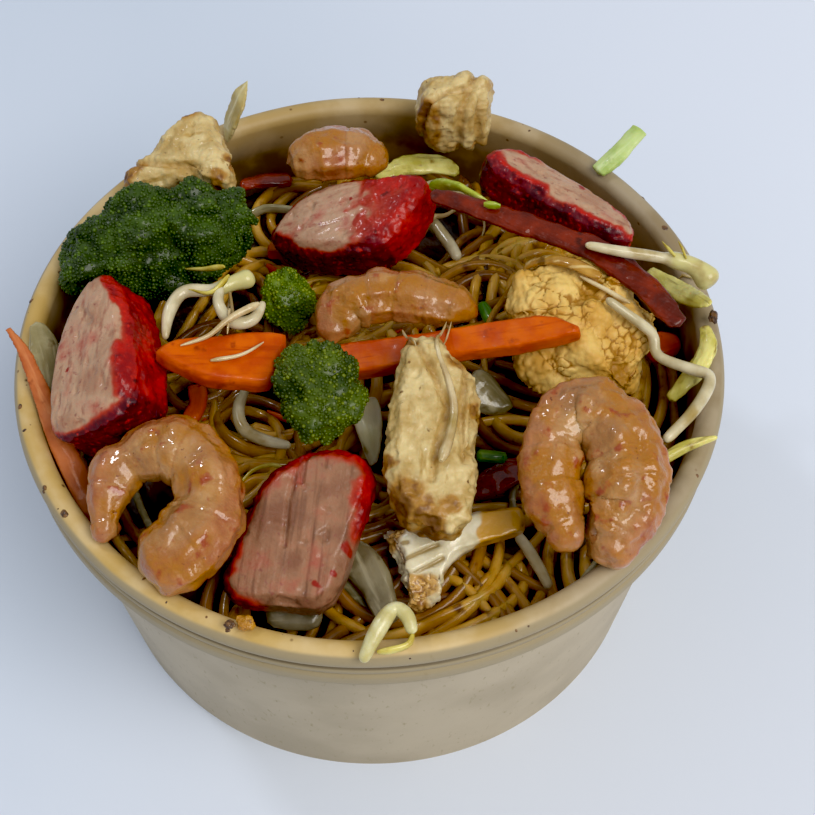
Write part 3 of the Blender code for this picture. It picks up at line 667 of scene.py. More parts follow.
# %% The heap's height map
CELL = 0.75 * MM
REACH = 72 * MM
CELLS = int(2 * REACH / CELL)
CORE_DROP = 5.0 * MM
LOOSE_RISE = 3.5 * MM
NOODLE_RADIUS = 1.75 * MM
WALL_LIMIT = 68.2 * MM
WALL_GAP = 0.3 * MM
HEAP_EDGE = 55 * MM
CLEAR_SKY = 1.0


def map_cell(value):
    """The number of the map's row or column at a place."""
    return int((value + REACH) / CELL)


def wall_inside(height):
    """The inner radius of the sloping wall at a height."""
    return BASE_RADIUS + WALL_SLOPE * min(height, BAND_BOTTOM) - PAPER


heights = np.zeros((CELLS, CELLS))
ceilings = np.full((CELLS, CELLS), CLEAR_SKY)
for i in range(CELLS):
    for j in range(CELLS):
        x, y = (i + 0.5) * CELL - REACH, (j + 0.5) * CELL - REACH
        if math.hypot(x, y) < REACH:
            surface = top_of(heap_tree, x, y, HEAP_EDGE)
            heights[i, j] = surface - CORE_DROP
            hit = topping_tree.ray_cast(Vector((x, y, IN_THE_HEAP)), UP)[0]
            ceilings[i, j] = min(surface + LOOSE_RISE, hit.z if hit else CLEAR_SKY)
print("heap from", round(heights[heights > 0].min() / MM), "to", round(heights.max() / MM), "mm")

# %% [markdown]
# A strand is laid point by point. It looks at a small window of the map, rests on the highest
# thing there, keeps under the roof and inside the wall, and leaves its own top in the map.

# %% Laying a strand
def window(x, y, radius):
    """The slice of the map round a point, and each cell's distance from it."""
    i0, i1 = max(0, map_cell(x - radius)), min(CELLS, map_cell(x + radius) + 1)
    j0, j1 = max(0, map_cell(y - radius)), min(CELLS, map_cell(y + radius) + 1)
    xs = (np.arange(i0, i1) + 0.5) * CELL - REACH - x
    ys = (np.arange(j0, j1) + 0.5) * CELL - REACH - y
    return (slice(i0, i1), slice(j0, j1)), np.hypot(xs[:, None], ys[None, :])


def eased(values):
    """Each value averaged with its two neighbours, so that a line loses its sharp bends."""
    before, after = [values[0], *values], [*values[1:], values[-1]]
    return [(a + 2 * b + c) / 4 for a, b, c in zip(before, values, after)]


def lay_strand(route, radius, stiffness=4, dive=3.5 * MM):
    """Gives a flat route its heights on the heap, inside the wall, and adds it to the map."""
    wanted = []
    for x, y in route:
        area, away = window(x, y, radius)
        wanted.append(float(np.where(away < radius, heights[area], 0).max()) + radius * 0.8)
    roofs = [float(ceilings[window(x, y, radius)[0]].min()) - radius - 0.1 * MM for x, y in route]
    roofs = [min(roofs[max(0, i - 2) : i + 3]) for i in range(len(roofs))]
    wide = [max(wanted[max(0, i - 1) : i + 2]) for i in range(len(wanted))]
    for _ in range(stiffness):
        wide = eased([min(height, roof) for height, roof in zip(wide, roofs)])
    laid = []
    last = len(route) - 1
    for i, ((x, y), height) in enumerate(zip(route, wide)):
        from_end = min(i, last - i)
        height -= dive * (1 - ramp(from_end, 0, 6))
        room = wall_inside(height) - radius - WALL_GAP
        inward = min(1.0, room / math.hypot(x, y)) if x or y else 1.0
        x, y = x * inward, y * inward
        area, away = window(x, y, radius)
        laid.append(Vector((x, y, height)))
        top = height + np.sqrt(np.maximum(0, radius**2 - away**2))
        heights[area] = np.where(away < radius, np.maximum(heights[area], top), heights[area])
    return laid


# %% [markdown]
# A noodle's route wanders: its bend changes slowly, and where it meets the wall it follows it
# round. The draws are seeded, so the heap is the same every time.

# %% Noodles dropped at random
STEP = 1.5 * MM
LOCKS = 50
FIRST_BEND = 0.09
SHARPEST_BEND = 0.16
BEND_CHANGE = 0.03
TURN_AT_WALL = 0.12
SIDE_BY_SIDE = 2.15 * NOODLE_RADIUS
draw = random.Random(11)


def inside_wall(x, y):
    """A place moved straight in to the wall's limit, if it lies outside."""
    out = math.hypot(x, y)
    if out > WALL_LIMIT:
        return x * WALL_LIMIT / out, y * WALL_LIMIT / out
    return x, y


def wandering_route(x, y, heading, length):
    """A flat route that wanders, kept inside the wall."""
    route = []
    bend = draw.uniform(-FIRST_BEND, FIRST_BEND)
    for _ in range(int(length / STEP)):
        if math.hypot(x, y) > WALL_LIMIT:
            x, y = inside_wall(x, y)
            leaving = x * math.sin(heading) - y * math.cos(heading)
            heading += TURN_AT_WALL if leaving > 0 else -TURN_AT_WALL
        route.append((x, y))
        bend += draw.uniform(-BEND_CHANGE, BEND_CHANGE)
        bend = max(-SHARPEST_BEND, min(SHARPEST_BEND, bend))
        heading += bend
        x += STEP * math.cos(heading)
        y += STEP * math.sin(heading)
    return route


def beside(route, step):
    """The same route moved sideways, as the next noodle in a lock."""
    moved = []
    for i, (x, y) in enumerate(route):
        ahead = route[min(i + 1, len(route) - 1)]
        behind = route[max(i - 1, 0)]
        along = Vector((ahead[0] - behind[0], ahead[1] - behind[1])).normalized()
        moved.append(inside_wall(x - along.y * step, y + along.x * step))
    return moved


def tapered(points, radius, ends=(0.5, 0.85)):
    """Points with their radii, with both ends rounded off."""
    last = len(points) - 1
    scale = {0: ends[0], 1: ends[1], last - 1: ends[1], last: ends[0]}
    return [(p, radius * scale.get(i, 1.0)) for i, p in enumerate(points)]


noodles = []
for _ in range(LOCKS):
    out = 66 * MM * math.sqrt(draw.random())
    turn = draw.uniform(0, 2 * math.pi)
    heading, length = draw.uniform(0, 2 * math.pi), draw.uniform(50, 100) * MM
    route = wandering_route(out * math.cos(turn), out * math.sin(turn), heading, length)
    for k in range(draw.choice((1, 2, 3, 3))):
        radius = NOODLE_RADIUS * draw.uniform(0.8, 1.15)
        shifted = beside(route, k * SIDE_BY_SIDE)
        noodles.append((tapered(lay_strand(shifted, radius), radius), draw.random()))

# %% [markdown]
# Some noodles catch the eye in the photograph, such as the lock that curls round the cauliflower
# and the loops at the front and the right. Their routes are listed, in millimetres, and
# laid last, so that they come out on top.

# %% Noodles that catch the eye
# For each lock: its route, how many noodles lie side by side, and how pale they are.
SHOWN_LOCKS = (
    (((25, 12), (25, 22), (28, 31), (36, 39), (44, 39), (53, 32)), 3, 1.0),
    (((19, 24), (21, 31), (26, 38), (31, 42)), 2, 0.9),
    (((-2, -63), (8, -62), (16, -59), (22, -56), (27, -52), (30, -46), (28, -40)), 3, 0.95),
    (((18, -56), (23, -52), (27, -48), (27, -43)), 2, 0.7),
    (((28, -38), (33, -43), (32, -50)), 1, 0.8),
    (((66, 15), (67, 4), (65, -8), (59, -19)), 3, 0.9),
    (((60, 12), (60, 2), (56, -8), (50, -18)), 2, 0.7),
    (((-34, 1), (-34, -8), (-33, -17), (-29, -24)), 2, 1.0),
    (((-30, -21), (-24, -23), (-17, -22), (-10, -24)), 2, 0.9),
    (((-31, -16), (-26, -12), (-21, -12), (-14, -14)), 1, 0.75),
    (((-19, 33), (-26, 36), (-33, 29), (-37, 19), (-43, 10)), 2, 1.05),
    (((-24, 12), (-18, 20), (-9, 24), (2, 23)), 2, 0.85),
    (((-30, 60), (-20, 62), (-8, 62)), 2, 0.5),
    (((2, 58), (14, 58), (26, 53), (38, 48)), 2, 0.45),
)


def smooth_route(points, step=STEP):
    """A flat Catmull-Rom curve through points in millimetres, as evenly spaced (x, y) in metres."""
    points = [Vector((*p, 0)) * MM for p in points]
    points = [2 * points[0] - points[1], *points, 2 * points[-1] - points[-2]]
    route = []
    for a, b, c, d in zip(points, points[1:], points[2:], points[3:]):
        parts = max(2, int((c - b).length / step))
        for i in range(parts):
            t = i / parts
            square, cube = 2 * a - 5 * b + 4 * c - d, 3 * b - a - 3 * c + d
            p = 0.5 * (2 * b + (c - a) * t + square * t**2 + cube * t**3)
            route.append((p.x, p.y))
    return route


for points, count, tint in SHOWN_LOCKS:
    route = smooth_route(points)
    for k in range(count):
        shifted = beside(route, (k - count / 2) * 2.3 * NOODLE_RADIUS)
        laid = lay_strand(shifted, NOODLE_RADIUS, stiffness=6)
        noodles.append((tapered(laid, NOODLE_RADIUS), tint + draw.uniform(-0.12, 0.12)))
print("noodles", len(noodles))

# %% [markdown]
# Thin-cut vegetables went into the pan with the noodles and lie among them: shreds of carrot and
# slivers of onion. They are laid into the same height map, after the noodles, so they rest on top.

# %% Shreds among the noodles
# For each: its route and its radius, in millimetres.
CARROT_SHREDS = (
    (((-27, 37), (-19, 31)), 1.7),
    (((-14, 25), (-8, 22), (-2, 23)), 1.4),
    (((-38, -3), (-36, -9), (-34, -16)), 1.5),
    (((-22, -10), (-16, -13), (-10, -13)), 1.0),
    (((16, 28), (22, 32)), 1.3),
    (((4, 12), (12, 13)), 1.2),
)
ONION_SLIVERS = (
    (((-2, 52), (8, 50), (16, 46)), 1.7),
    (((-12, -44), (-4, -50), (2, -58)), 1.9),
    (((2, -52), (9, -48), (14, -50)), 1.6),
    (((-52, -20), (-48, -30), (-44, -38)), 1.6),
    (((-34, 46), (-26, 50), (-16, 50)), 1.5),
    (((42, -50), (48, -42), (52, -34)), 1.5),
    (((34, -20), (30, -28), (31, -36)), 1.6),
    (((8, 14), (14, 18), (20, 17)), 1.3),
    (((58, 22), (50, 30), (42, 33)), 1.4),
)

# %% [markdown]
# The noodles are wheat and egg, fried in dark soy sauce. Plain ones are a warm yellow and slightly
# see-through at the surface, and those that took up more sauce are brown. The sauce coats them
# thinly, so they are glossy. Each noodle's tint says how much sauce it took.

# %% Egg noodles in soy sauce
def egg_noodle():
    """Wheat dough with egg: golden to brown, lit from within, under a thin film of sauce."""
    tree = blank()
    sauced = mottle(tree, 9, "#643C08", "#96620E", detail=5)
    plain = mottle(tree, 7, "#B8841C", "#D8AA48", detail=5)
    base = tinted(tree, "tint", sauced, plain, edge=(0.15, 0.95))
    stained = mottle(tree, 4.5, base, "#6B3A0C", edge=(0.56, 0.72), detail=6)
    normal = wrinkle(tree, 1.2, 0.1)
    return finish(
        "egg_noodle_in_soy_sauce", stained, normal, rough=0.3, shine=0.25,
        glow=(0.25, 1.4, 0.7, 0.2), coat=(0.4, 0.07),
    )


def sauce_and_shade_core():
    """The dark inside of the heap, seen only through the gaps: sauce with bits in it, and painted
    shade.
    """
    tree = blank()
    base = mottle(tree, 5, "#1E0F04", "#4A2A0B", detail=6)
    normal = wrinkle(tree, 2.4, 0.6)
    return finish("soy_sauce_core", base, normal, rough=0.4, shine=0.3, coat=(0.3, 0.15))


# The core is painted near black: dark sauce, and the shade deep among the noodles.
core = fine_piece("noodle_heap", 1.4, smoothing=8)
relief(core, lambda place, normal: -CORE_DROP / MM * ramp(normal.z, 0.1, 0.6))
dress(core, "noodle_heap", sauce_and_shade_core())
strewn = make_strands("strewn_noodles", noodles, egg_noodle(), sides=8, flatness=0.7)
dress_loose(strewn)

# %% [markdown]
# ## Roast pork
#
# The pork is roasted in a red marinade and sliced. A slice has two very different surfaces: the
# cut face is pale, with the meat's fibres running one way, and the outside is a rough, sticky red
# crust. How far a point is from the outside decides which it is, and the crust is thicker on the
# side that faced the fire. Both numbers are painted on the mesh.

# %% Roast pork
def paint_crust(piece, axes, thin_rim, thick_rim, fire_way, bare_way):
    """1 on the crust and 0 on the cut face.

    The rim is in millimetres, thickest toward fire_way. Toward bare_way there is no crust.
    """
    out = axes[2]
    mesh = piece.data
    sides = [tuple(p.vertices) for p in mesh.polygons if abs(p.normal.dot(out)) < 0.6]
    side_tree = BVHTree.FromPolygons([v.co for v in mesh.vertices], sides)
    middle = sum((v.co for v in mesh.vertices), Vector()) / len(mesh.vertices)
    fire, bare = Vector(fire_way).normalized(), Vector(bare_way)
    values = []
    for vertex in mesh.vertices:
        away = side_tree.find_nearest(vertex.co)[3]
        spoke = vertex.co - middle
        spoke = (spoke - out * spoke.dot(out)).normalized()
        toward = max(0.0, spoke.dot(fire))
        kept = 1 - ramp(spoke.dot(bare) + 0.2 * uneven(vertex.co, 5, 6.0), 0.35, 0.75)
        rim = (thin_rim + (thick_rim - thin_rim) * toward**1.5) * MM
        rim *= 1 + 0.45 * uneven(vertex.co, 4, 4.0) + 0.3 * uneven(vertex.co, 1.3, 1.0)
        values.append(kept * (1 - ramp(away, rim * 0.1, rim * 1.9)))
    paint(piece, "crust", values)
    return values

# %% [markdown]
# The finish goes from the bare face to the crust in steps: fibres, freckles and blush on the
# face, then a reddened rim, then the crust itself, painted bright red as lit on one side, deep red
# as shade on the other, with small painted highlights, and nearly black where the marinade burnt.

# %% The finish of roast pork
def roast_pork(name, lines, shortness, shades):
    """Lean pork with a red marinade baked on, with darker lines between its fibres."""
    tree = blank()
    grain = add_node(tree, "ShaderNodeAttribute", attribute_name="grain").outputs["Vector"]
    face = mottle(tree, 7, shades[0], shades[1], detail=6)
    fibres = mottle(
        tree, 1.5, face, lines, edge=(0.5, 0.72), detail=6, place=grain,
        stretch=(shortness, 1.0, 1.0),
    )
    freckled = mottle(tree, 1.3, fibres, "#8A5446", edge=(0.6, 0.76), detail=4)
    blush = mottle(tree, 7, freckled, "#A2483A", edge=(0.5, 0.8), detail=5)
    spotted = tinted(tree, "spot", blush, "#8E1E0C", edge=(0.2, 0.9))
    # Painted light on the crust: a lit red, a shaded deep red, and small painted highlights.
    lit_crust = mottle(tree, 6, "#860A0C", "#B01808", edge=(0.38, 0.62), detail=6)
    shaded = mottle(tree, 6, "#3C0614", "#6C0A1A", edge=(0.35, 0.65), detail=5)
    crust = tinted(tree, "dark", lit_crust, shaded, edge=(0.1, 0.8))
    lit = mottle(tree, 1.0, crust, "#C62A14", edge=(0.54, 0.8), detail=4)
    burnt = mottle(tree, 2.6, lit, "#46060A", edge=(0.6, 0.74), detail=5)
    reddened = tinted(tree, "crust", spotted, "#A8341C", edge=(0.0, 0.6))
    base = tinted(tree, "crust", reddened, burnt, edge=(0.4, 1.0))
    strung = wrinkle(tree, 1.0, 0.12, detail=5, place=grain, stretch=(0.1, 1.0, 1.0))
    normal = wrinkle(tree, 0.9, 0.2, detail=4, under=strung)
    return finish(
        name, base, normal, rough=0.38, shine=0.25, glow=(0.15, 1.8, 0.6, 0.4), coat=(0.2, 0.1)
    )

# %% [markdown]
# Every slice lies another way and was cut at another angle, so each has its own directions, rim
# and spots. One slice also has cracks along its fibres.

# %% The slices of pork
# For each slice: the way its cut face looks, the way its fibres run, its thinnest and thickest
# rim in millimetres, the sides that faced the fire, that are bare and that get the painted shade
# on the crust, and spots of marinade on the face.
PORK = {
    "pork_left": (
        (-0.5, -0.17, 0.84), (0.2, 1.0, 0), 0.7, 1.8, (1.0, -0.5, 0), (-1.0, 0, 0), (0.2, -1.0, 0),
        ((-60, -16, 0.7),),
    ),
    "pork_front": (
        (-0.06, -0.32, 0.94), (0.12, 1.0, 0), 1.2, 2.2, (0.6, 1.0, 0), (0.5, -1.0, 0),
        (-1.0, 0.2, 0), ((-4, -51, 1.5), (-9, -58, 1.2), (-6, -56, 1.0)),
    ),
    "pork_back": (
        (-0.37, -0.15, 0.92), (1.0, 0.1, 0), 1.2, 8.5, (1.0, -0.15, 0), (0, 0, 0), (-0.8, -0.8, 0),
        ((-1, 32, 1.9), (-4, 34, 0.8), (-3, 28, 1.6)),
    ),
    "pork_right": (
        (0.3, 0.18, 0.93), (1.0, -0.5, 0), 0.8, 1.4, (-0.8, 0.5, 0), (0.6, 1.0, 0), (-0.5, -1.0, 0),
        ((46, 31, 1.5),),
    ),
}
CRACKS = {"pork_front": (((-13, -34), (-15, -42), (-15.6, -51)), ((-11.6, -31), (-12.6, -39)))}
MEAT_GRAIN = 0.42


def paint_crust_shade(piece, shade_way):
    """Painted shade on a slice's crust: 1 where it faces a direction, 0 where it faces away from
    it.
    """
    way = Vector(shade_way).normalized()
    normals = [v.normal for v in piece.data.vertices]
    paint(piece, "dark", [ramp(n.dot(way) - 0.3 * n.z, -0.2, 0.7) for n in normals])


close_grained = roast_pork("roast_pork_close_grain", "#9A6A52", 0.4, ("#A87E62", "#C0A082"))
long_grained = roast_pork("roast_pork_long_grain", "#6E4832", 0.07, ("#865A42", "#A2785A"))
for node, (cut_way, fibre_way, *rim, shade_way, spots) in PORK.items():
    slice_ = fine_piece(node, MEAT_GRAIN)
    axes = cut_axes(cut_way, fibre_way)
    crust_at = iter(paint_crust(slice_, axes, *rim))
    depth = 0.15 if node == "pork_front" else 0.14
    cracks = CRACKS.get(node, ())

    def pork_relief(place, normal):
        baked = next(crust_at)
        bent = place + axes[1] * 1.2 * MM * uneven(place, 9, 2.0)
        drawn = in_grain(bent, axes, 0.1)
        fibres = 0.7 * uneven(drawn, 1.6) + 0.7 * uneven(drawn, 0.8, 3.0)
        pits = -0.5 * ramp(uneven(place, 3.0, 9.0), 0.3, 0.7)
        split = -0.9 * max([near_line(place, line, 0.7) for line in cracks], default=0.0)
        crumbly = 0.4 * uneven(place, 2.6, 1.0) + 0.36 * uneven(place, 1.2, 5.0)
        swell = 0.5 * uneven(place, 9, 7.0)
        return (depth * fibres + pits + split) * (1 - baked) + crumbly * baked + swell

    paint_crust_shade(slice_, shade_way)
    paint(slice_, "spot", [near_spots(v.co, spots) for v in slice_.data.vertices])
    relief(slice_, pork_relief)
    paint_grain(slice_, axes)
    dress(slice_, node, long_grained if node == "pork_front" else close_grained)

# %% [markdown]
# ## Prawns
#
# A peeled prawn keeps its rings: each ring of muscle overlaps the next, which shows as a row of
# soft steps along its back. Cooked flesh is white to peach, pinker on the outside of the curl,
# with orange spots from the wok. To step the rings, each point must know how far along the prawn
# it is, so the same route that the solid follows is given here again, and the nearest place on
# it is measured.

# %% Prawns
PRAWN_ROUTES = {
    "prawn_left": (
        (-0.6, -12.2), (6, -9.2), (9.5, 0), (7.2, 8.2), (0, 11.8), (-7.9, 9.6), (-11, 2),
        (-11, -5.2),
    ),
    "prawn_right": (
        (2.2, -14.6), (7.6, -6.6), (6.4, 4.2), (1.6, 11.8), (-5, 13), (-8.8, 6.6), (-8.8, -3.2),
        (-4.6, -13),
    ),
    "prawn_middle": ((-13, -6), (-10.8, 0.6), (-3.6, 2), (4.4, 1), (11.4, 0), (15.2, -1.2)),
    "prawn_back": ((-9, -0.5), (-2, 1), (5.5, 1), (10.5, -0.5)),
}
RING_LENGTH = 6.2 * MM
TAIL_SIDE = 41 * MM
# For each prawn: how rough it is, and how far it swells inside the curl and at the tail.
PRAWN_LUMPS = {"prawn_right": (0.4, 1.8, 2.0)}
EVEN_LUMPS = (0.2, 0.3, 0.0)


def along_route(piece, node):
    """For each point, its distance along the prawn's route, and how far out of the curl it is."""
    route = smooth_route(PRAWN_ROUTES[node], 0.8 * MM)
    low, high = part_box(node)
    xs, ys = [p[0] for p in route], [p[1] for p in route]
    shift_x = (low.x + high.x) / 2 - (min(xs) + max(xs)) / 2
    shift_y = (low.y + high.y) / 2 - (min(ys) + max(ys)) / 2
    line = np.array([(x + shift_x, y + shift_y) for x, y in route])
    steps = np.hypot(*np.diff(line, axis=0).T)
    run = np.concatenate([[0], np.cumsum(steps)])
    hub = line.mean(0)
    places = np.array([v.co[:2] for v in piece.data.vertices])
    nearest = np.hypot(
        places[:, None, 0] - line[None, :, 0], places[:, None, 1] - line[None, :, 1]
    ).argmin(1)
    outward = np.hypot(*(places - hub).T) - np.hypot(*(line[nearest] - hub).T)
    return run[nearest], outward


def prawn_flesh():
    """Cooked flesh without its shell: half clear, very wet, pink and orange on its outside."""
    tree = blank()
    flesh = mottle(tree, 6, "#9E6C38", "#BA8C54", detail=5)
    pink = mottle(tree, 5, "#9C582C", "#B27644", detail=5)
    outside = tinted(tree, "outward", flesh, pink, edge=(0.3, 0.9))
    ringed = tinted(tree, "ring", outside, "#94481E", edge=(0.82, 1.35))
    sauced = mottle(tree, 8, ringed, "#A66A10", edge=(0.43, 0.62), detail=5)
    spotted = mottle(tree, 3.2, sauced, "#96400E", edge=(0.57, 0.72), detail=5)
    flecked = mottle(tree, 1.2, spotted, "#6E3410", edge=(0.68, 0.76), detail=3)
    normal = wrinkle(tree, 1.6, 0.35, detail=4, under=wrinkle(tree, 0.7, 0.14, detail=3))
    return finish(
        "peeled_prawn", flecked, normal, rough=0.3, shine=0.3, glow=(0.3, 2.5, 1.1, 0.7),
        coat=(0.7, 0.05),
    )

# %% [markdown]
# The rings are cut as a saw-tooth along the route, and slow lumps over them keep the curl from
# looking turned. One prawn is thicker inside its curl and at its tail.

# %% The four prawns
prawn_finish = prawn_flesh()
for node in PRAWN_ROUTES:
    prawn = fine_piece(node, MEAT_GRAIN)
    run, outward = along_route(prawn, node)
    ring = (run / RING_LENGTH) % 1.0
    places = zip(ring, outward, run / run.max())
    rough, inner_swell, tail_swell = PRAWN_LUMPS.get(node, EVEN_LUMPS)

    def prawn_relief(place, normal):
        step, out, share = next(places)
        plate = 0.32 * (0.5 - step**3)
        bumps = 0.35 * uneven(place, 3.2, 2.0) + rough * uneven(place, 1.7, 6.0)
        toward_head = 1 + 0.8 * ramp(0.4 - share, 0, 0.25)
        inner = inner_swell * toward_head * ramp(-out, 0, 4 * MM)
        tail = tail_swell * ramp(share, 0.6, 0.85) * ramp(TAIL_SIDE - place.x, 0, 1.0 * MM)
        return plate + bumps + inner + tail + 1.3 * uneven(place, 8.5, 4.0)

    relief(prawn, prawn_relief)
    paint(prawn, "ring", ring)
    paint(prawn, "outward", np.clip(0.5 + outward / (9 * MM), 0, 1))
    dress(prawn, node, prawn_finish)

# %% [markdown]
# ## Chicken
#
# The chicken is breast meat, sliced and browned in the wok: cream where it is bare, tan to brown
# where it touched the iron. It tears along its fibres, so its surface has long soft ridges.

# %% Chicken
def browned_chicken():
    """Breast meat fried dry: cream strings, toasted gold and brown where it met the wok."""
    tree = blank()
    grain = add_node(tree, "ShaderNodeAttribute", attribute_name="grain").outputs["Vector"]
    bare = mottle(tree, 5, "#B6985A", "#D6C088", detail=5)
    strung = mottle(
        tree, 1.8, bare, "#B08E4A", edge=(0.54, 0.74), detail=5, place=grain,
        stretch=(0.3, 1.0, 1.0),
    )
    ragged = add_node(tree, "ShaderNodeAttribute", attribute_name="brown").outputs["Fac"]
    gold = tinted(tree, "brown", strung, "#A87A30", edge=(0.0, 0.9))
    toasted = mottle(tree, 2.2, gold, "#7A4E1A", edge=(0.45, 0.65), detail=6)
    browner = add_node(
        tree, "ShaderNodeMix", {0: ragged, 6: gold, 7: toasted}, data_type="RGBA"
    ).outputs[2]
    brown = tinted(tree, "brown", browner, "#6A4214", edge=(0.85, 1.35))
    flecked = mottle(tree, 1.6, brown, "#6A4414", edge=(0.66, 0.78), detail=4)
    normal = wrinkle(tree, 1.4, 0.3, detail=5, under=wrinkle(tree, 0.6, 0.12, detail=4))
    return finish(
        "browned_chicken", flecked, normal, rough=0.45, shine=0.3, glow=(0.15, 1.8, 0.9, 0.5),
        coat=(0.2, 0.12),
    )

# %% [markdown]
# Where each piece browned and where it folds was read off the photograph. Edges tear more than
# faces do, and one piece is a block that a knife squared.

# %% The pieces of chicken
# For each piece: where it browned, as x, y and radius, and its folds, all in millimetres.
CHICKEN = {
    "chicken_middle": (
        (
            (8, -45, 5), (12, -49, 4.5), (16, -47, 2.5), (4.5, -38, 2), (17.5, -17, 2.5),
            (21, -27, 1.6), (8, -12, 2.5),
        ),
        (
            ((9, -13), (13, -20), (16, -28), (13.8, -35), (12.6, -42)),
            ((20, -18), (18.4, -27), (19, -38)),
        ),
    ),
    "chicken_back": (
        ((11, 58, 3.5), (14, 55, 2.2)),
        (((17, 50), (21, 58), (25, 70)), ((12, 58), (17, 60), (23, 62)), ((23, 50), (25, 60))),
    ),
    "chicken_left": (
        ((-33, 33, 2.4), (-31, 38, 1.8), (-36.5, 31, 1.4), (-53, 38, 3.5), (-41, 51, 3)),
        (((-54, 41), (-46, 38), (-38, 36)),),
    ),
}


def squared(piece, node, power):
    """Swells a lump toward the corners of its own box, for a block that a knife cut."""
    low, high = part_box(node)
    middle, half = (low + high) / 2, (high - low) / 2
    for vertex in piece.data.vertices:
        way = vertex.co - middle
        unit = Vector([w / h for w, h in zip(way, half)])
        blocky = sum(abs(u) ** power for u in unit) ** (1 / power)
        vertex.co = middle + way * unit.length / max(blocky, 0.001) * 0.96
    piece.data.update()


chicken_finish = browned_chicken()
for node, (patches, folds) in CHICKEN.items():
    meat = fine_piece(node, 0.4, smoothing=3)
    if node == "chicken_back":
        squared(meat, node, 3.2)
    axes = own_axes(node)
    folded = [max(near_line(v.co, line, 1.3) for line in folds) for v in meat.data.vertices]
    side = [1 - ramp(abs(v.normal.z), 0.4, 0.85) for v in meat.data.vertices]
    # Besides its brown patches, each piece is painted darker along its folds and on parts of its
    # sides.
    darkened = [
        near_spots(v.co, patches) + 0.35 * fold + 0.35 * rim * ramp(uneven(v.co, 4, 3.0), -0.1, 0.4)
        for v, fold, rim in zip(meat.data.vertices, folded, side)
    ]
    places = zip(folded, side)
    torn_edge = 0.4 if node == "chicken_back" else 1.0

    def torn(place, normal):
        fold, rim = next(places)
        fibres = abs(uneven(in_grain(place, axes, 0.4), 4.5, 1.0))
        ridges = 0.6 * fibres + 0.4 * abs(uneven(place, 2.0, 4.0))
        pits = 0.6 * ramp(uneven(place, 2.4, 6.0), 0.35, 0.7)
        rags = 0.9 * uneven(place, 3.2, 2.0) + 0.5 * uneven(place, 1.4, 7.0)
        flat = 0.35 - ridges - pits + 0.8 * uneven(place, 8, 3.0) + 0.26 * uneven(place, 1.0, 8.0)
        return flat + rim * torn_edge * rags - 1.1 * fold

    paint(meat, "brown", darkened)
    relief(meat, torn)
    paint_grain(meat, axes)
    dress(meat, node, chicken_finish)

# %% [markdown]
# ## Broccoli
#
# A broccoli crown is hundreds of closed flower buds on branching stems. The crown is first split
# into florets by seams between cells. Then a second Geometry Nodes tree sets a small ball for
# each bud on it, evenly spaced, each of a slightly different size and tint.

# %% Broccoli
def bud_tree():
    tree, given = new_tree(
        "buds_on_crown", "Buds", Crown="Geometry", Spacing="Float", Size="Float", Finish="Material"
    )
    spread = add_node(
        tree, "GeometryNodeDistributePointsOnFaces",
        {"Mesh": given["Crown"], "Distance Min": given["Spacing"], "Density Max": 3e6, "Seed": 5},
        distribute_method="POISSON",
    )
    bud = add_node(
        tree, "GeometryNodeMeshIcoSphere", {"Radius": given["Size"], "Subdivisions": 1}
    )
    soft = add_node(tree, "GeometryNodeSetShadeSmooth", {"Geometry": bud.outputs["Mesh"]})
    size = add_node(
        tree, "FunctionNodeRandomValue", {"Min": 0.7, "Max": 1.3, "Seed": 3}, data_type="FLOAT"
    )
    sizes = next(s for s in size.outputs if s.enabled)
    buds = add_node(
        tree, "GeometryNodeInstanceOnPoints",
        {"Points": spread.outputs["Points"], "Instance": soft.outputs[0], "Scale": sizes},
    )
    shade = add_node(
        tree, "FunctionNodeRandomValue", {"Min": 0.0, "Max": 1.0, "Seed": 8}, data_type="FLOAT"
    )
    shades = next(s for s in shade.outputs if s.enabled)
    tinted_buds = add_node(
        tree, "GeometryNodeStoreNamedAttribute",
        {"Geometry": buds.outputs[0], "Name": "tint", "Value": shades},
        data_type="FLOAT", domain="INSTANCE",
    )
    real = add_node(tree, "GeometryNodeRealizeInstances", {"Geometry": tinted_buds.outputs[0]})
    both = add_node(tree, "GeometryNodeJoinGeometry")
    tree.links.new(real.outputs[0], both.inputs[0])
    tree.links.new(given["Crown"], both.inputs[0])
    done = add_node(
        tree, "GeometryNodeSetMaterial", {"Geometry": both.outputs[0], "Material": given["Finish"]}
    )
    add_node(tree, "NodeGroupOutput", {"Buds": done.outputs[0]})
    return tree

# %% [markdown]
# The three crowns differ in size and in how much light they get, and that light and shade is
# painted into each one's greens. The buds are about 0.8 mm across, which is as fine as the
# photograph shows them.

# %% The crowns of broccoli
def green_buds(dark, light, tip_and_glint):
    """Broccoli buds: a waxy green, darker between, some with a yellow tip, partly a painted glint.
    """
    tree = blank()
    leafy = mottle(tree, 7, dark, light, detail=5)
    tipped = tinted(tree, "tint", leafy, tip_and_glint, edge=(0.5, 1.3))
    return finish(
        "broccoli_buds", tipped, wrinkle(tree, 0.9, 0.12), rough=0.42, shine=0.3,
        glow=(0.05, 0.3, 0.8, 0.2), coat=(0.2, 0.15),
    )


BUDS = bud_tree()
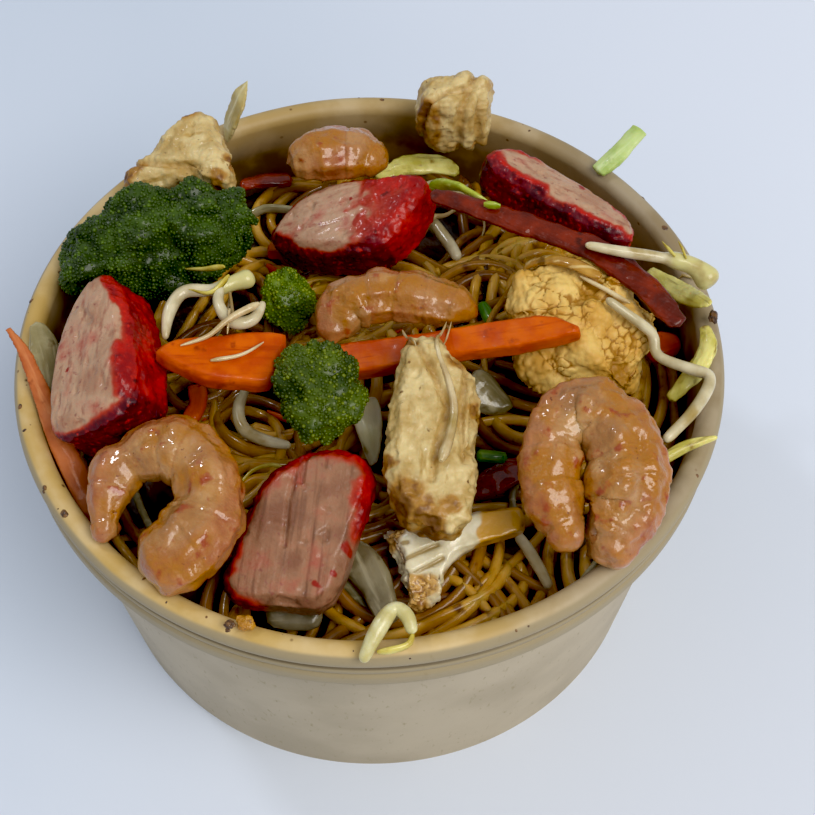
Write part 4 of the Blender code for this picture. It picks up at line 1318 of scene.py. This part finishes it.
# For each crown: the size of a floret, the buds' spacing and radius in millimetres, and greens
# with the crown's light and shade painted in, the last for tips that are partly painted glints.
BROCCOLI = {
    "broccoli_large": (8.5, 0.66, 0.42, ("#22350A", "#3C5410", "#5C7818")),
    "broccoli_upper": (4.6, 0.62, 0.40, ("#4A620A", "#6E860E", "#A4B02A")),
    "broccoli_lower": (5.2, 0.62, 0.40, ("#2C3E08", "#4E600C", "#82901E")),
}
for node, (floret, spacing, bud_size, greens_with_painted_light) in BROCCOLI.items():
    crown = fine_piece(node, 0.7)

    def florets(place, normal):
        large = 0.36 * floret * (dome(place, floret, 3.0) - 0.6)
        return large + 0.9 * (dome(place, 2.8, 1.0) - 0.6) + 0.3 * uneven(place, 2.2, 2.0)

    relief(crown, florets)
    paint(crown, "tint", [0.0] * len(crown.data.vertices))
    green = green_buds(*greens_with_painted_light)
    modifier = crown.modifiers.new("buds", "NODES")
    modifier.node_group = BUDS
    set_inputs(modifier, Spacing=spacing * MM, Size=bud_size * MM, Finish=green)
    settle_modifiers(crown)
    print(node, "faces", len(crown.data.polygons))
    dress(crown, node, green)

# %% [markdown]
# ## Cauliflower
#
# Cauliflower is the same plant with its buds held back: knobbly curds, packed so closely that
# only cracks show between them. The curds are cells pushed out of the surface, in two sizes, and
# the cracks are painted a darker yellow.

# %% Cauliflower
def curd(low, high, crack, brown):
    """Fried cauliflower: dull, waxy and yellow, browner in its cracks."""
    tree = blank()
    pale = mottle(tree, 8, low, high, detail=5)
    cracked = tinted(tree, "crack", pale, crack, edge=(0.3, 0.9))
    toasted = mottle(tree, 5, cracked, brown, edge=(0.6, 0.76), detail=6)
    return finish(
        "cauliflower_curd", toasted, wrinkle(tree, 0.7, 0.12, detail=4), rough=0.55, shine=0.3,
        glow=(0.15, 1.6, 1.0, 0.4), coat=(0.08, 0.25),
    )


def knobbly(place):
    """The curds' height in millimetres, and how deep in a crack the point is."""
    warped = place + Vector((1, -1, 1)) * 0.7 * MM * uneven(place, 2.2, 1.0)
    floret = dome(warped, 9, 6.0)
    broken = ramp(uneven(place, 8, 3.0), -0.25, 0.25)
    split = ramp(cell_gap(warped, 2.3, 2.0), 0.02, 0.4)
    grains = dome(place, 1.3, 4.0)
    height = 2.4 * (floret - 0.7) + 0.6 * broken * (split - 1) + 0.45 * (grains - 0.5)
    return height, max(broken * (1 - split), 0.8 - floret * 2, 0.0)


cauliflower = fine_piece("cauliflower_large", 0.4)
yellow_curd = curd("#CE9E46", "#E0BE6E", "#A0701E", "#BC8A34")
paint(cauliflower, "crack", [knobbly(v.co)[1] for v in cauliflower.data.vertices])
relief(cauliflower, lambda place, normal: knobbly(place)[0])
dress(cauliflower, "cauliflower_large", yellow_curd)

# %% [markdown]
# The thin slice of cauliflower is cut through a branch: its left end is curds, toasted at the
# edge, and the rest is smooth white stem that ends in a yellow tip. How far along it each point
# is decides how much of the curd relief it gets.

# %% The cauliflower slice
# Creases of the stem, in millimetres: carved in, and painted darker as the shade in them.
STEM_CREASES = (
    ((5, -50.5), (9, -49), (14, -47)), ((9, -52.5), (15, -49.5)), ((4, -47), (8, -46.5)),
)


def slice_stem():
    """The cut branch: white and juicy, so it glows a little, toasted on its few curds."""
    tree = blank()
    white = mottle(tree, 6, "#D0C49C", "#EAE2C4", detail=5)
    # Painted shade: the stem is darker along its creases.
    crease_shaded = tinted(tree, "shaded_crease", white, "#A8905C", edge=(0.3, 1.0))
    yellowed = tinted(tree, "end", crease_shaded, "#C8941C", edge=(0.2, 1.0))
    headed = tinted(tree, "head", yellowed, "#CCA25C", edge=(0.1, 0.8))
    cracked = tinted(tree, "crack", headed, "#8A5A22", edge=(0.35, 1.1))
    toasted = mottle(tree, 2.6, cracked, "#94622A", edge=(0.66, 0.76), detail=6)
    return finish(
        "cauliflower_stem", toasted, wrinkle(tree, 1.2, 0.15), rough=0.32, shine=0.35,
        glow=(0.25, 1.6, 1.2, 0.6), coat=(0.5, 0.08),
    )


stem = fine_piece("cauliflower_slice", 0.36, smoothing=3)
low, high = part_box("cauliflower_slice")
points = [v.co.copy() for v in stem.data.vertices]
heads = [
    max(
        ramp(low.x + 4.5 * MM + 1.2 * MM * uneven(p, 3, 1.0) - p.x, 0, 1.4 * MM),
        ramp(low.y + 6.5 * MM + 1.2 * MM * uneven(p, 3, 2.0) - p.y, 0, 1.4 * MM),
    )
    for p in points
]
shaded_creases = [
    max(near_line(p, line, 0.8) for line in STEM_CREASES) * (1 - head)
    for p, head in zip(points, heads)
]
curds = [knobbly(p * 1.5) for p in points]
paint(stem, "head", [head * ramp(uneven(p, 4, 8.0), -0.5, 0.3) for p, head in zip(points, heads)])
paint(stem, "crack", [head * deep for head, (_, deep) in zip(heads, curds)])
paint(stem, "shaded_crease", shaded_creases)
ragged_x = [p.x + (3 * uneven(p, 5) + 2 * uneven(p, 2)) * MM for p in points]
paint(stem, "end", [ramp(x, high.x - 11 * MM, high.x - 8 * MM) for x in ragged_x])
raised = iter(
    [head * 0.9 * height - 0.6 * shaded_crease for head, shaded_crease, (height, _) in zip(heads, shaded_creases, curds)]
)
relief(stem, lambda place, normal: 0.35 * uneven(place, 4, 1.0) + next(raised))
dress(stem, "cauliflower_slice", slice_stem())

# %% [markdown]
# ## Carrots, pepper, onion and leaves
#
# These are cut vegetables with smooth wet skins. Each keeps one trait that names it: carrot has
# fine rings and lines in a strong orange, fried pepper is dark red and very glossy, onion and
# cabbage are pale and veined along their length, and spring onion is a bright hollow green.

# %% The finish of cut vegetables
def cut_vegetable(name, low, high, stain, stripe, gloss, rough, soft, depth):
    """A smooth wet cut, with stripes and fine lines along its own length."""
    tree = blank()
    grain = add_node(tree, "ShaderNodeAttribute", attribute_name="grain").outputs["Vector"]
    body = mottle(tree, 6, low, high, detail=5)
    striped = mottle(
        tree, 1.4, body, stripe, edge=STRIPE_EDGES.get(name, (0.52, 0.72)), detail=4, place=grain,
        stretch=(0.1, 1.0, 1.0),
    )
    stained = mottle(tree, 3.6, striped, stain, edge=(0.6, 0.74), detail=6)
    lined = wrinkle(tree, 1.0, depth, detail=3, place=grain, stretch=(0.15, 1.0, 1.0))
    normal = wrinkle(tree, 2.6, depth * 1.5, detail=3, under=lined)
    return finish(
        name, stained, normal, rough=rough, shine=0.2, glow=(soft, 1.5, 1.0, 0.5),
        coat=(gloss, 0.07),
    )


STRIPE_EDGES = {"pale_green_leaf": (0.56, 0.7)}
# For each: its two body colours, its stains and its stripes, how glossy its wet film is, how
# rough it is under that, how much light enters it, and how deep its lines are in millimetres.
CUT_FINISHES = {
    "carrot_flesh": ("#B64400", "#CE5E00", "#963602", "#A83C00", 0.12, 0.42, 0.1, 0.12),
    # The strip's skin is paler and duller: carrot skin, with a painted sheen on it.
    "carrot_skin": ("#A8562A", "#BE6E3C", "#8C4420", "#C87E4C", 0.1, 0.45, 0.1, 0.12),
    "fried_red_pepper": ("#561604", "#7E2608", "#3E1206", "#641A06", 0.4, 0.4, 0.0, 0.5),
    "wet_red_pepper": ("#681808", "#94300C", "#461408", "#7A2008", 1.0, 0.2, 0.0, 0.6),
    "onion_flesh": ("#8A8058", "#ACA47C", "#705E34", "#C0B890", 0.5, 0.25, 0.3, 0.12),
    # Painted light: a lighter onion for the wedge, against the shade it lies in.
    "clear_onion": ("#D2CE9C", "#E6E2BC", "#A89858", "#EEECD2", 0.7, 0.2, 0.4, 0.12),
    "fried_onion": ("#7E7446", "#9E926A", "#6C5628", "#B0A680", 0.7, 0.2, 0.3, 0.12),
    "brown_onion": ("#6C6042", "#8C8264", "#5A4A2C", "#A39A7C", 0.5, 0.25, 0.3, 0.12),
    "golden_onion": ("#A07020", "#C89C48", "#74500E", "#D8BE80", 0.5, 0.25, 0.3, 0.12),
    "onion_blade": ("#B09A58", "#CDBE86", "#94803C", "#DCD2A4", 0.2, 0.4, 0.3, 0.12),
    "pale_green_leaf": ("#B8AE4A", "#E2DA84", "#90762C", "#968438", 0.4, 0.3, 0.35, 0.3),
    "leek_white": ("#A6BE66", "#C2D48C", "#92AC54", "#CCDCA0", 0.2, 0.4, 0.3, 0.12),
    "spring_onion_green": ("#2F6A0C", "#5A8E12", "#1F4C08", "#86A82A", 0.4, 0.3, 0.12, 0.12),
    "young_scallion": ("#849A1E", "#B6C04A", "#5E7410", "#C4CC70", 0.4, 0.3, 0.12, 0.12),
}
WET = {name: cut_vegetable(name, *values) for name, values in CUT_FINISHES.items()}
print("finishes for cut vegetables", len(WET))

# %% [markdown]
# Each kind of vegetable has one finish, and a few pieces that took more oil or heat have their
# own. One onion wedge is painted lighter against the shade it lies in, and one carrot strip has a
# painted sheen. The knife and the pan leave slow waves in the surface, and fried pepper blisters.

# %% Cut vegetables
KIND_FINISH = {
    "carrot": "carrot_flesh", "red_pepper": "fried_red_pepper", "onion": "onion_flesh",
    "pale_leaf": "pale_green_leaf", "spring_onion": "spring_onion_green",
}
OWN_FINISH = {
    "pepper_short": "wet_red_pepper", "pepper_stub": "wet_red_pepper",
    "onion_wedge": "clear_onion", "onion_triangle": "fried_onion",
    "onion_petal": "brown_onion", "onion_shell": "brown_onion", "leek_stick": "leek_white",
    "leaf_blade": "onion_blade", "carrot_strip": "carrot_skin",
}
THIN = 3 * MM
record_slots = {entry["node"]: entry["material_slot"] for entry in frame["record"]["subparts"]}
for node in TOPPINGS:
    slot = record_slots[node]
    if slot not in KIND_FINISH or "sprout" in node:
        continue
    cut = fine_piece(node, 0.4 if min(nodes[node].dimensions) > THIN else 0.3, smoothing=3)
    fried = 2.2 if slot in ("red_pepper", "pale_leaf") else 1.0
    blisters = 0.28 if slot == "red_pepper" else 0.0

    def knife_wave(place, normal):
        waves = fried * (0.22 * uneven(place, 6, 3.0) + 0.08 * uneven(place, 2, 5.0))
        return waves + blisters * uneven(place, 2.4, 8.0)

    relief(cut, knife_wave)
    paint_grain(cut, own_axes(node))
    dress(cut, node, WET[OWN_FINISH.get(node, KIND_FINISH[slot])])

# %% [markdown]
# ## Bean sprouts
#
# A bean sprout is a smooth white stem that thins to a root at one end and carries the split
# yellow bean at the other. The stems come from the solids, made round. The beans are two lobes
# side by side, set at the end of a stem and pointing on along it, and the roots are fine strands.

# %% Bean sprouts
def sprout_stem(name, low, high):
    """A blanched stem: nearly white, so juicy that light goes deep, tanned here and there."""
    tree = blank()
    white = mottle(tree, 7, low, high, detail=4)
    headed = tinted(tree, "head", white, "#CCC484")
    tanned = mottle(tree, 9, headed, "#A08848", edge=(0.52, 0.72), detail=5)
    return finish(
        name, tanned, wrinkle(tree, 2.2, 0.1), rough=0.28, shine=0.35, glow=(0.3, 2.0, 1.6, 1.0),
        coat=(0.4, 0.08),
    )


def bean_yellow(name, low, high):
    """The split bean: mealy and yellow, with a softer shine than the stem."""
    tree = blank()
    base = mottle(tree, 3.5, low, high, detail=4)
    return finish(
        name, base, wrinkle(tree, 1.0, 0.12), rough=0.35, glow=(0.25, 1.5, 1.2, 0.4),
        coat=(0.4, 0.15),
    )


stem_finish = sprout_stem("bean_sprout_stem", "#B4A67E", "#D8CEAC")
root_finish = sprout_stem("bean_sprout_root", "#B49A6A", "#D8C69C")
bean_finish = bean_yellow("split_bean", "#B6A030", "#D6C866")
pale_bean = bean_yellow("pale_split_bean", "#C2B676", "#DAD4A2")
# Where along x the bean of a sprout starts. The others have none.
BEAN_STARTS = {"sprout_long": 61 * MM, "sprout_curl": -33 * MM}
NO_BEAN = 1.0
OTHER_STEMS = {"sprout_fork": pale_bean, "sprout_tendril": WET["pale_green_leaf"]}
for node in TOPPINGS:
    if node.startswith("sprout"):
        sprout = rounded_piece(node)
        start = BEAN_STARTS.get(node, NO_BEAN)
        head = [ramp(v.co.x, start, start + 3 * MM) for v in sprout.data.vertices]
        head_at = iter(head)
        relief(sprout, lambda place, normal: 0.14 * uneven(place, 5, 2.0) + 0.6 * next(head_at))
        paint(sprout, "head", head)
        if node == "sprout_tendril":
            paint_grain(sprout, own_axes(node))
        dress(sprout, node, OTHER_STEMS.get(node, stem_finish))

# %% [markdown]
# One sprout carries the two halves of its bean apart. They are two balls, drawn out along the
# stem, narrower at the front and curled away from each other.

# %% A split bean
LOBE_WIDTH = 0.23
LOBE_CURL = 0.14
LOBE_GAP = 0.9 * MM


def stem_end(node, way):
    """The point of a node that lies farthest along a direction."""
    way = Vector(way)
    return max((v.co for v in nodes[node].data.vertices), key=lambda co: co.dot(way)).copy()


def bean_lobes(name, base, way, length, spread):
    """The two halves of a bean, from a stem's end and pointing along way, in millimetres."""
    ahead = Vector(way).normalized()
    across = ahead.cross(UP).normalized()
    bm = bmesh.new()
    for side in (-1, 1):
        lobe = bmesh.ops.create_icosphere(bm, subdivisions=4, radius=1.0)["verts"]
        aim = (ahead + across * side * spread).normalized()
        right = aim.cross(UP).normalized()
        upward = right.cross(aim)
        middle = base + aim * length * 0.2 * MM + across * side * LOBE_GAP
        for vert in lobe:
            along, y, z = vert.co
            wide = LOBE_WIDTH * length * (1 - 0.25 * along) * MM
            curl = side * LOBE_CURL * length * along * along * MM
            vert.co = (
                middle + aim * along * length / 2 * MM + right * (y * wide + curl)
                + upward * z * wide * 0.8
            )
    bmesh.ops.recalc_face_normals(bm, faces=bm.faces)
    return smooth_piece(bm, name)


stem_tip = stem_end("sprout_headed", (-0.9, 0.1, 0))
bean = bean_lobes("bean_of_sprout_headed", stem_tip, (-0.9, 0.5, 0.1), 7.0, 0.2)
dress_loose(bean, bean_finish)

# %% [markdown]
# ## Roots and shreds on top
#
# Fine roots of the sprouts lie over the toppings. Each is a flat route in millimetres that is
# draped: a ray cast down finds the surface under each point, and the heights are smoothed so
# that the strand bridges the gaps as a stiff one does.

# %% Roots on top
EMPTY_LEVEL = 60 * MM


def drape(points, radius, bridging=40):
    """Lays a route over everything in the bowl, bridging the gaps between pieces."""
    route = smooth_route(points, 1.0 * MM)
    tops = [top_of(all_tree, x, y, EMPTY_LEVEL) + radius for x, y in route]
    for _ in range(bridging):
        tops = [max(top, ease) for top, ease in zip(tops, eased(tops))]
    return [Vector((x, y, z)) for (x, y), z in zip(route, tops)]


def thinning(points, thick, thin):
    """Points with radii that go from thick to thin."""
    last = max(1, len(points) - 1)
    made = []
    for i, p in enumerate(points):
        from_end = min(i, last - i)
        rounding = (0.45, 0.85, 1.0)[min(from_end, 2)]
        made.append((p, (thick + (thin - thick) * i / last) * rounding))
    return made


# For each root: its route, and its radius at both ends.
ROOTS = (
    (((16, -3), (14, -11), (14, -16), (16, -22), (17, -28), (16, -34), (14, -40)), 0.2, 1.1),
    (((17, -3), (16, -8), (15, -15)), 0.2, 0.2),
    (((7, -5), (8, -9), (10, -16)), 0.35, 0.2),
    (((13, 41), (18, 46), (22, 48), (26, 47)), 0.7, 0.3),
    (((22, 48), (26, 45), (25, 40)), 0.4, 0.25),
    (((-22, -3), (-28, -7), (-32, -11), (-38, -14)), 1.0, 0.3),
    (((-29, 5), (-28, -3), (-28, -11)), 0.45, 0.25),
    (((-31, -16), (-25, -14), (-20, -10)), 0.55, 0.25),
    (((62, 26), (66, 20), (71, 15)), 0.5, 0.25),
    (((44, 8), (50, 4), (55, 1)), 0.45, 0.6),
    (((-44, 8), (-36, 10), (-27, 7)), 0.4, 0.25),
)
roots = []
for points, thick, thin in ROOTS:
    laid = drape(points, thick * MM)
    roots.append((thinning(laid, thick * MM, thin * MM), 0.5))
dress_loose(make_strands("sprout_roots", roots, root_finish, sides=6))

# %% [markdown]
# Four thin petals of split beans stand up from the toppings, and one lies over the lip. Nothing
# carries them along their length, so their routes have heights as well.

# %% Petals of the beans
def rising_route(points):
    """A smooth route through points that have heights, in millimetres."""
    flat = smooth_route([p[:2] for p in points], 1.0 * MM)
    share = [i / (len(flat) - 1) for i in range(len(flat))]
    rise = np.interp(share, np.linspace(0, 1, len(points)), [p[2] for p in points])
    return [Vector((x, y, z * MM)) for (x, y), z in zip(flat, rise)]


PETALS = (
    (((-39, 12, 83), (-34, 10, 85), (-29, 8, 88)), 0.35, 0.9),
    (((-37, 3, 87), (-32, 1, 88.5), (-28, 6, 89)), 0.3, 0.9),
    (((61, 13.5, 90), (62, 11, 90.5), (64, 8.5, 90)), 0.25, 0.8),
    (((64.5, 14, 89.5), (65, 11.5, 90), (66, 8, 89.5)), 0.25, 0.7),
    (((9, -70.2, 77.6), (8.4, -72.4, 76.8), (5.6, -73.6, 76.8), (1.4, -74.2, 76.6)), 1.2, 1.5),
)
petals = []
for points, thin, thick in PETALS:
    petals.append((thinning(rising_route(points), thin * MM, thick * MM), 0.5))
petal_piece = make_strands("bean_petals", petals, bean_finish, sides=6, flatness=0.5)
dress_loose(petal_piece)

# %% [markdown]
# A few shreds lie loose on the toppings: a hoop of fried onion, a curl and a short bit of green,
# and a bean that split along its length. Those without heights are draped.

# %% Loose shreds
WORLD_AXES = (Vector((1, 0, 0)), Vector((0, 1, 0)), UP)
# For each: its name, its route, its radius at both ends, its finish and its slot.
LAID_SHREDS = (
    (
        "onion_hoop",
        (
            (25.2, 0.3), (24.8, 3.5), (25, 8), (26.8, 12), (31.8, 14.6), (36, 14.2), (40, 12),
            (46, 8.5), (49, 6.5),
        ),
        1.3, 1.5, WET["golden_onion"], "onion",
    ),
    (
        "green_curl",
        ((13, 40, 78), (15.5, 39.5, 81), (18.5, 37, 83), (22, 34, 83), (27, 31.6, 82)),
        2.2, 0.8, WET["young_scallion"], "pale_leaf",
    ),
    (
        "scallion_bit", ((24.2, 24.2), (26.5, 23.8), (29, 23.4)), 1.3, 1.2,
        WET["young_scallion"], "spring_onion",
    ),
    (
        "yellow_bean_split", ((-27.5, -29.5), (-24.3, -25.6), (-20, -24.6), (-16.3, -26)), 0.5, 0.9,
        bean_finish, "bean_sprout",
    ),
)
for name, points, thick, thin, shred_finish, slot in LAID_SHREDS:
    if len(points[0]) == 3:
        laid = rising_route(points)
    else:
        laid = drape(points, max(thick, thin) * MM)
    over = thinning(laid, thick * MM, thin * MM)
    shred = make_strands(name, [(over, 0.5)], shred_finish, sides=10, flatness=0.55)
    paint_grain(shred, WORLD_AXES)
    dress_loose(shred)

# %% [markdown]
# The shreds of carrot and the slivers of onion go into the noodles' own height map.

# %% Carrot and onion among the noodles
for name, pieces, slot in (
    ("carrot_shreds", CARROT_SHREDS, "carrot"), ("onion_slivers", ONION_SLIVERS, "onion"),
):
    paths = []
    for points, thick in pieces:
        laid = lay_strand(smooth_route(points), thick * MM, stiffness=8, dive=1.0 * MM)
        paths.append((tapered(laid, thick * MM, (0.7, 0.95)), 0.5))
    shreds = make_strands(name, paths, WET[KIND_FINISH[slot]], sides=8, flatness=0.55)
    paint_grain(shreds, WORLD_AXES)
    dress_loose(shreds)

# %% [markdown]
# ## Crumbs on the lip
#
# Cooking leaves small burnt crumbs, and some stuck to the lip when the bowl was filled. They are
# flat uneven flakes, scattered round the top of the lip by a seeded draw. Four larger crumbs are
# placed one by one: two golden ones, and two dark ones.

# %% Crumbs on the lip
CRUMBS = 40
CRUMB_SIZES = (0.2, 0.3, 0.35, 0.5, 0.75)
CRUMB_SINK = 0.2 * MM


def crumb_brown():
    """A burnt crumb: dark brown and a little oily, too small to show more."""
    tree = blank()
    base = mottle(tree, 1.0, "#3A2210", "#7A5428", detail=3)
    return finish("burnt_crumb", base, wrinkle(tree, 0.4, 0.08), coat=(0.3, 0.03))

# %% [markdown]
# The small flakes follow the round of the lip: a turn round the bowl and a lean over the bead
# give a place and a direction, and the flake is pressed flat along it.

# %% Scattered crumbs
def scatter_crumbs(count):
    """Small flat flakes round the lip, on its top and its outer side."""
    rule = random.Random(21)
    bm = bmesh.new()
    for _ in range(count):
        turn = rule.uniform(0, 2 * math.pi)
        lean = math.radians(rule.uniform(35, 120))
        size = rule.choice(CRUMB_SIZES) * MM
        reach = LIP_RADIUS - BEAD + BEAD * math.cos(lean) - CRUMB_SINK
        height = BOWL_HEIGHT - BEAD + BEAD * math.sin(lean) - CRUMB_SINK
        around = Vector((math.cos(turn), math.sin(turn), 0))
        outward = around * math.cos(lean) + UP * math.sin(lean)
        side = around.cross(UP)
        third = outward.cross(side)
        flake = bmesh.ops.create_icosphere(bm, subdivisions=2, radius=1.0)["verts"]
        stretch = rule.uniform(0.6, 1.4)
        for vert in flake:
            ragged = 1 + 0.35 * noise.noise(vert.co * 1.7 + Vector((turn * 9, 0, 0)))
            local = vert.co * ragged * size
            vert.co = (
                around * reach + UP * height + side * local.x * stretch + third * local.y
                + outward * local.z * 0.35
            )
    return smooth_piece(bm, "lip_crumbs")


def crumb(name, place, size, material, seed):
    """One lumpy crumb of food, its place and size in millimetres."""
    bm = bmesh.new()
    bmesh.ops.create_icosphere(bm, subdivisions=5, radius=1.0)
    for vert in bm.verts:
        lumps = 1 + 0.35 * noise.noise(vert.co * 1.4 + Vector((seed, 0, 0)))
        lumps += 0.14 * noise.noise(vert.co * 4.5 + Vector((0, seed, 0)))
        vert.co = Vector([(p + s * c * lumps) * MM for p, s, c in zip(place, size, vert.co)])
    dress_loose(smooth_piece(bm, name), material)


def golden_crumb():
    """A crumb of curd or batter: golden, toasted in patches and oily."""
    tree = blank()
    base = mottle(tree, 3, "#A8700E", "#D09A22", detail=5)
    toasted = mottle(tree, 2, base, "#6E420C", edge=(0.6, 0.72), detail=4)
    normal = wrinkle(tree, 1.0, 0.3)
    return finish("golden_crumb", toasted, normal, rough=0.4, coat=(0.3, 0.03))


gold = golden_crumb()
burnt = crumb_brown()
crumb("crumb_on_lip", (-21.8, -68, 76.4), (1.8, 1.4, 1.2), gold, 3.0)
crumb("crumb_by_pepper", (52.5, 7.5, 84.5), (2.4, 1.2, 1.0), gold, 7.0)
crumb("crumb_on_right", (72.6, 3.6, 77.4), (0.9, 1.7, 0.6), burnt, 5.0)
crumb("herb_on_lip", (-24.6, -68.6, 76.9), (1.0, 0.8, 0.6), burnt, 2.0)
dress_loose(scatter_crumbs(CRUMBS), burnt)
print("crumbs on the lip", CRUMBS)

# %% [markdown]
# ## Table, light and camera
#
# The photograph was taken by daylight on a pale blue-white table. A broad soft light in front on
# the right fills the bowl, and a small one behind on the left gives wet food its highlights. The
# camera looks down at about 54 degrees, centred a little in front of the bowl.

# %% Table and light
TABLE_SIZE = 3.0
LIGHT_AIM = Vector((0, 0, 0.05))
# For each light: its name, place and size in metres, its power in watts, and its tone.
LIGHTS = (
    ("window", (0.9, -0.95, 1.7), 1.2, 30.0, "#FFFBF4"),
    ("ceiling", (-0.75, 0.45, 1.3), 0.16, 3.2, "#F4F7FF"),
)
SKY_TONE = "#EDF1F8"
SKY_STRENGTH = 0.52


def table_top():
    """A smooth pale table: nearly matt, with painted light a little lighter on the right and in
    front.
    """
    tree = blank()
    even = mottle(tree, 300, "#C6D1E0", "#CFD8E6", detail=2)
    place = add_node(tree, "ShaderNodeTexCoord").outputs["Object"]
    apart = add_node(tree, "ShaderNodeSeparateXYZ", {0: place})
    # Painted light and shade: lighter on the right and in front, darker to the left and behind.
    right = add_node(
        tree, "ShaderNodeMapRange",
        {"Value": apart.outputs["X"], "From Min": -0.08, "From Max": 0.2},
    )
    front_light = add_node(
        tree, "ShaderNodeMapRange",
        {"Value": apart.outputs["Y"], "From Min": -0.02, "From Max": -0.12, "To Max": 0.3},
    )
    share = add_node(
        tree, "ShaderNodeMath", {0: right.outputs[0], 1: front_light.outputs[0]}, use_clamp=True
    )
    base = add_node(
        tree, "ShaderNodeMix", {0: share.outputs[0], 6: even, 7: "#E0E6F2"}, data_type="RGBA"
    ).outputs[2]
    made = finish("pale_table", base, rough=0.6, shine=0.2)
    mesh = bpy.data.meshes.new("table_top")
    half = TABLE_SIZE / 2
    mesh.from_pydata(
        [(-half, -half, 0), (half, -half, 0), (half, half, 0), (-half, half, 0)], [], [(0, 1, 2, 3)]
    )
    mesh.materials.append(made)
    return new_piece("table_top", mesh)


def soft_light(name, place, size, power, tone):
    """A square light that looks at the bowl."""
    lamp = bpy.data.lights.new(name, "AREA")
    lamp.size = size
    lamp.energy = power
    lamp.color = colour(tone)[:3]
    made = bpy.data.objects.new(name, lamp)
    bpy.context.scene.collection.objects.link(made)
    made.location = place
    made.rotation_euler = (LIGHT_AIM - Vector(place)).to_track_quat("-Z", "Y").to_euler()
    return made


table_top()
for light in LIGHTS:
    soft_light(*light)

sky = bpy.data.worlds.new("daylight")
sky.use_nodes = True
background = sky.node_tree.nodes["Background"]
background.inputs["Color"].default_value = colour(SKY_TONE)
background.inputs["Strength"].default_value = SKY_STRENGTH
bpy.context.scene.world = sky

# %% [markdown]
# The camera was found from the lip's ellipse and the foot's arc. The black point is raised a
# touch, because the photograph's shadows are deeper than the light here gives.

# %% Camera
CAMERA_PLACE = Vector((8, -196.4, 323.8)) * MM
CAMERA_AIM = Vector((8, -18.3, 75)) * MM
LENS = 66.26
SENSOR = 36.0
BLACK_POINT = 0.011

view = bpy.context.scene.view_settings
view.view_transform = "Standard"
view.use_curve_mapping = True
view.curve_mapping.black_level = (BLACK_POINT, BLACK_POINT, BLACK_POINT)
view.curve_mapping.update()

camera_data = bpy.data.cameras.new("camera")
camera_data.sensor_width = SENSOR
camera_data.lens = LENS
camera = bpy.data.objects.new("camera", camera_data)
bpy.context.scene.collection.objects.link(camera)
camera.location = CAMERA_PLACE
camera.rotation_euler = (CAMERA_AIM - CAMERA_PLACE).to_track_quat("-Z", "Y").to_euler()
bpy.context.scene.camera = camera
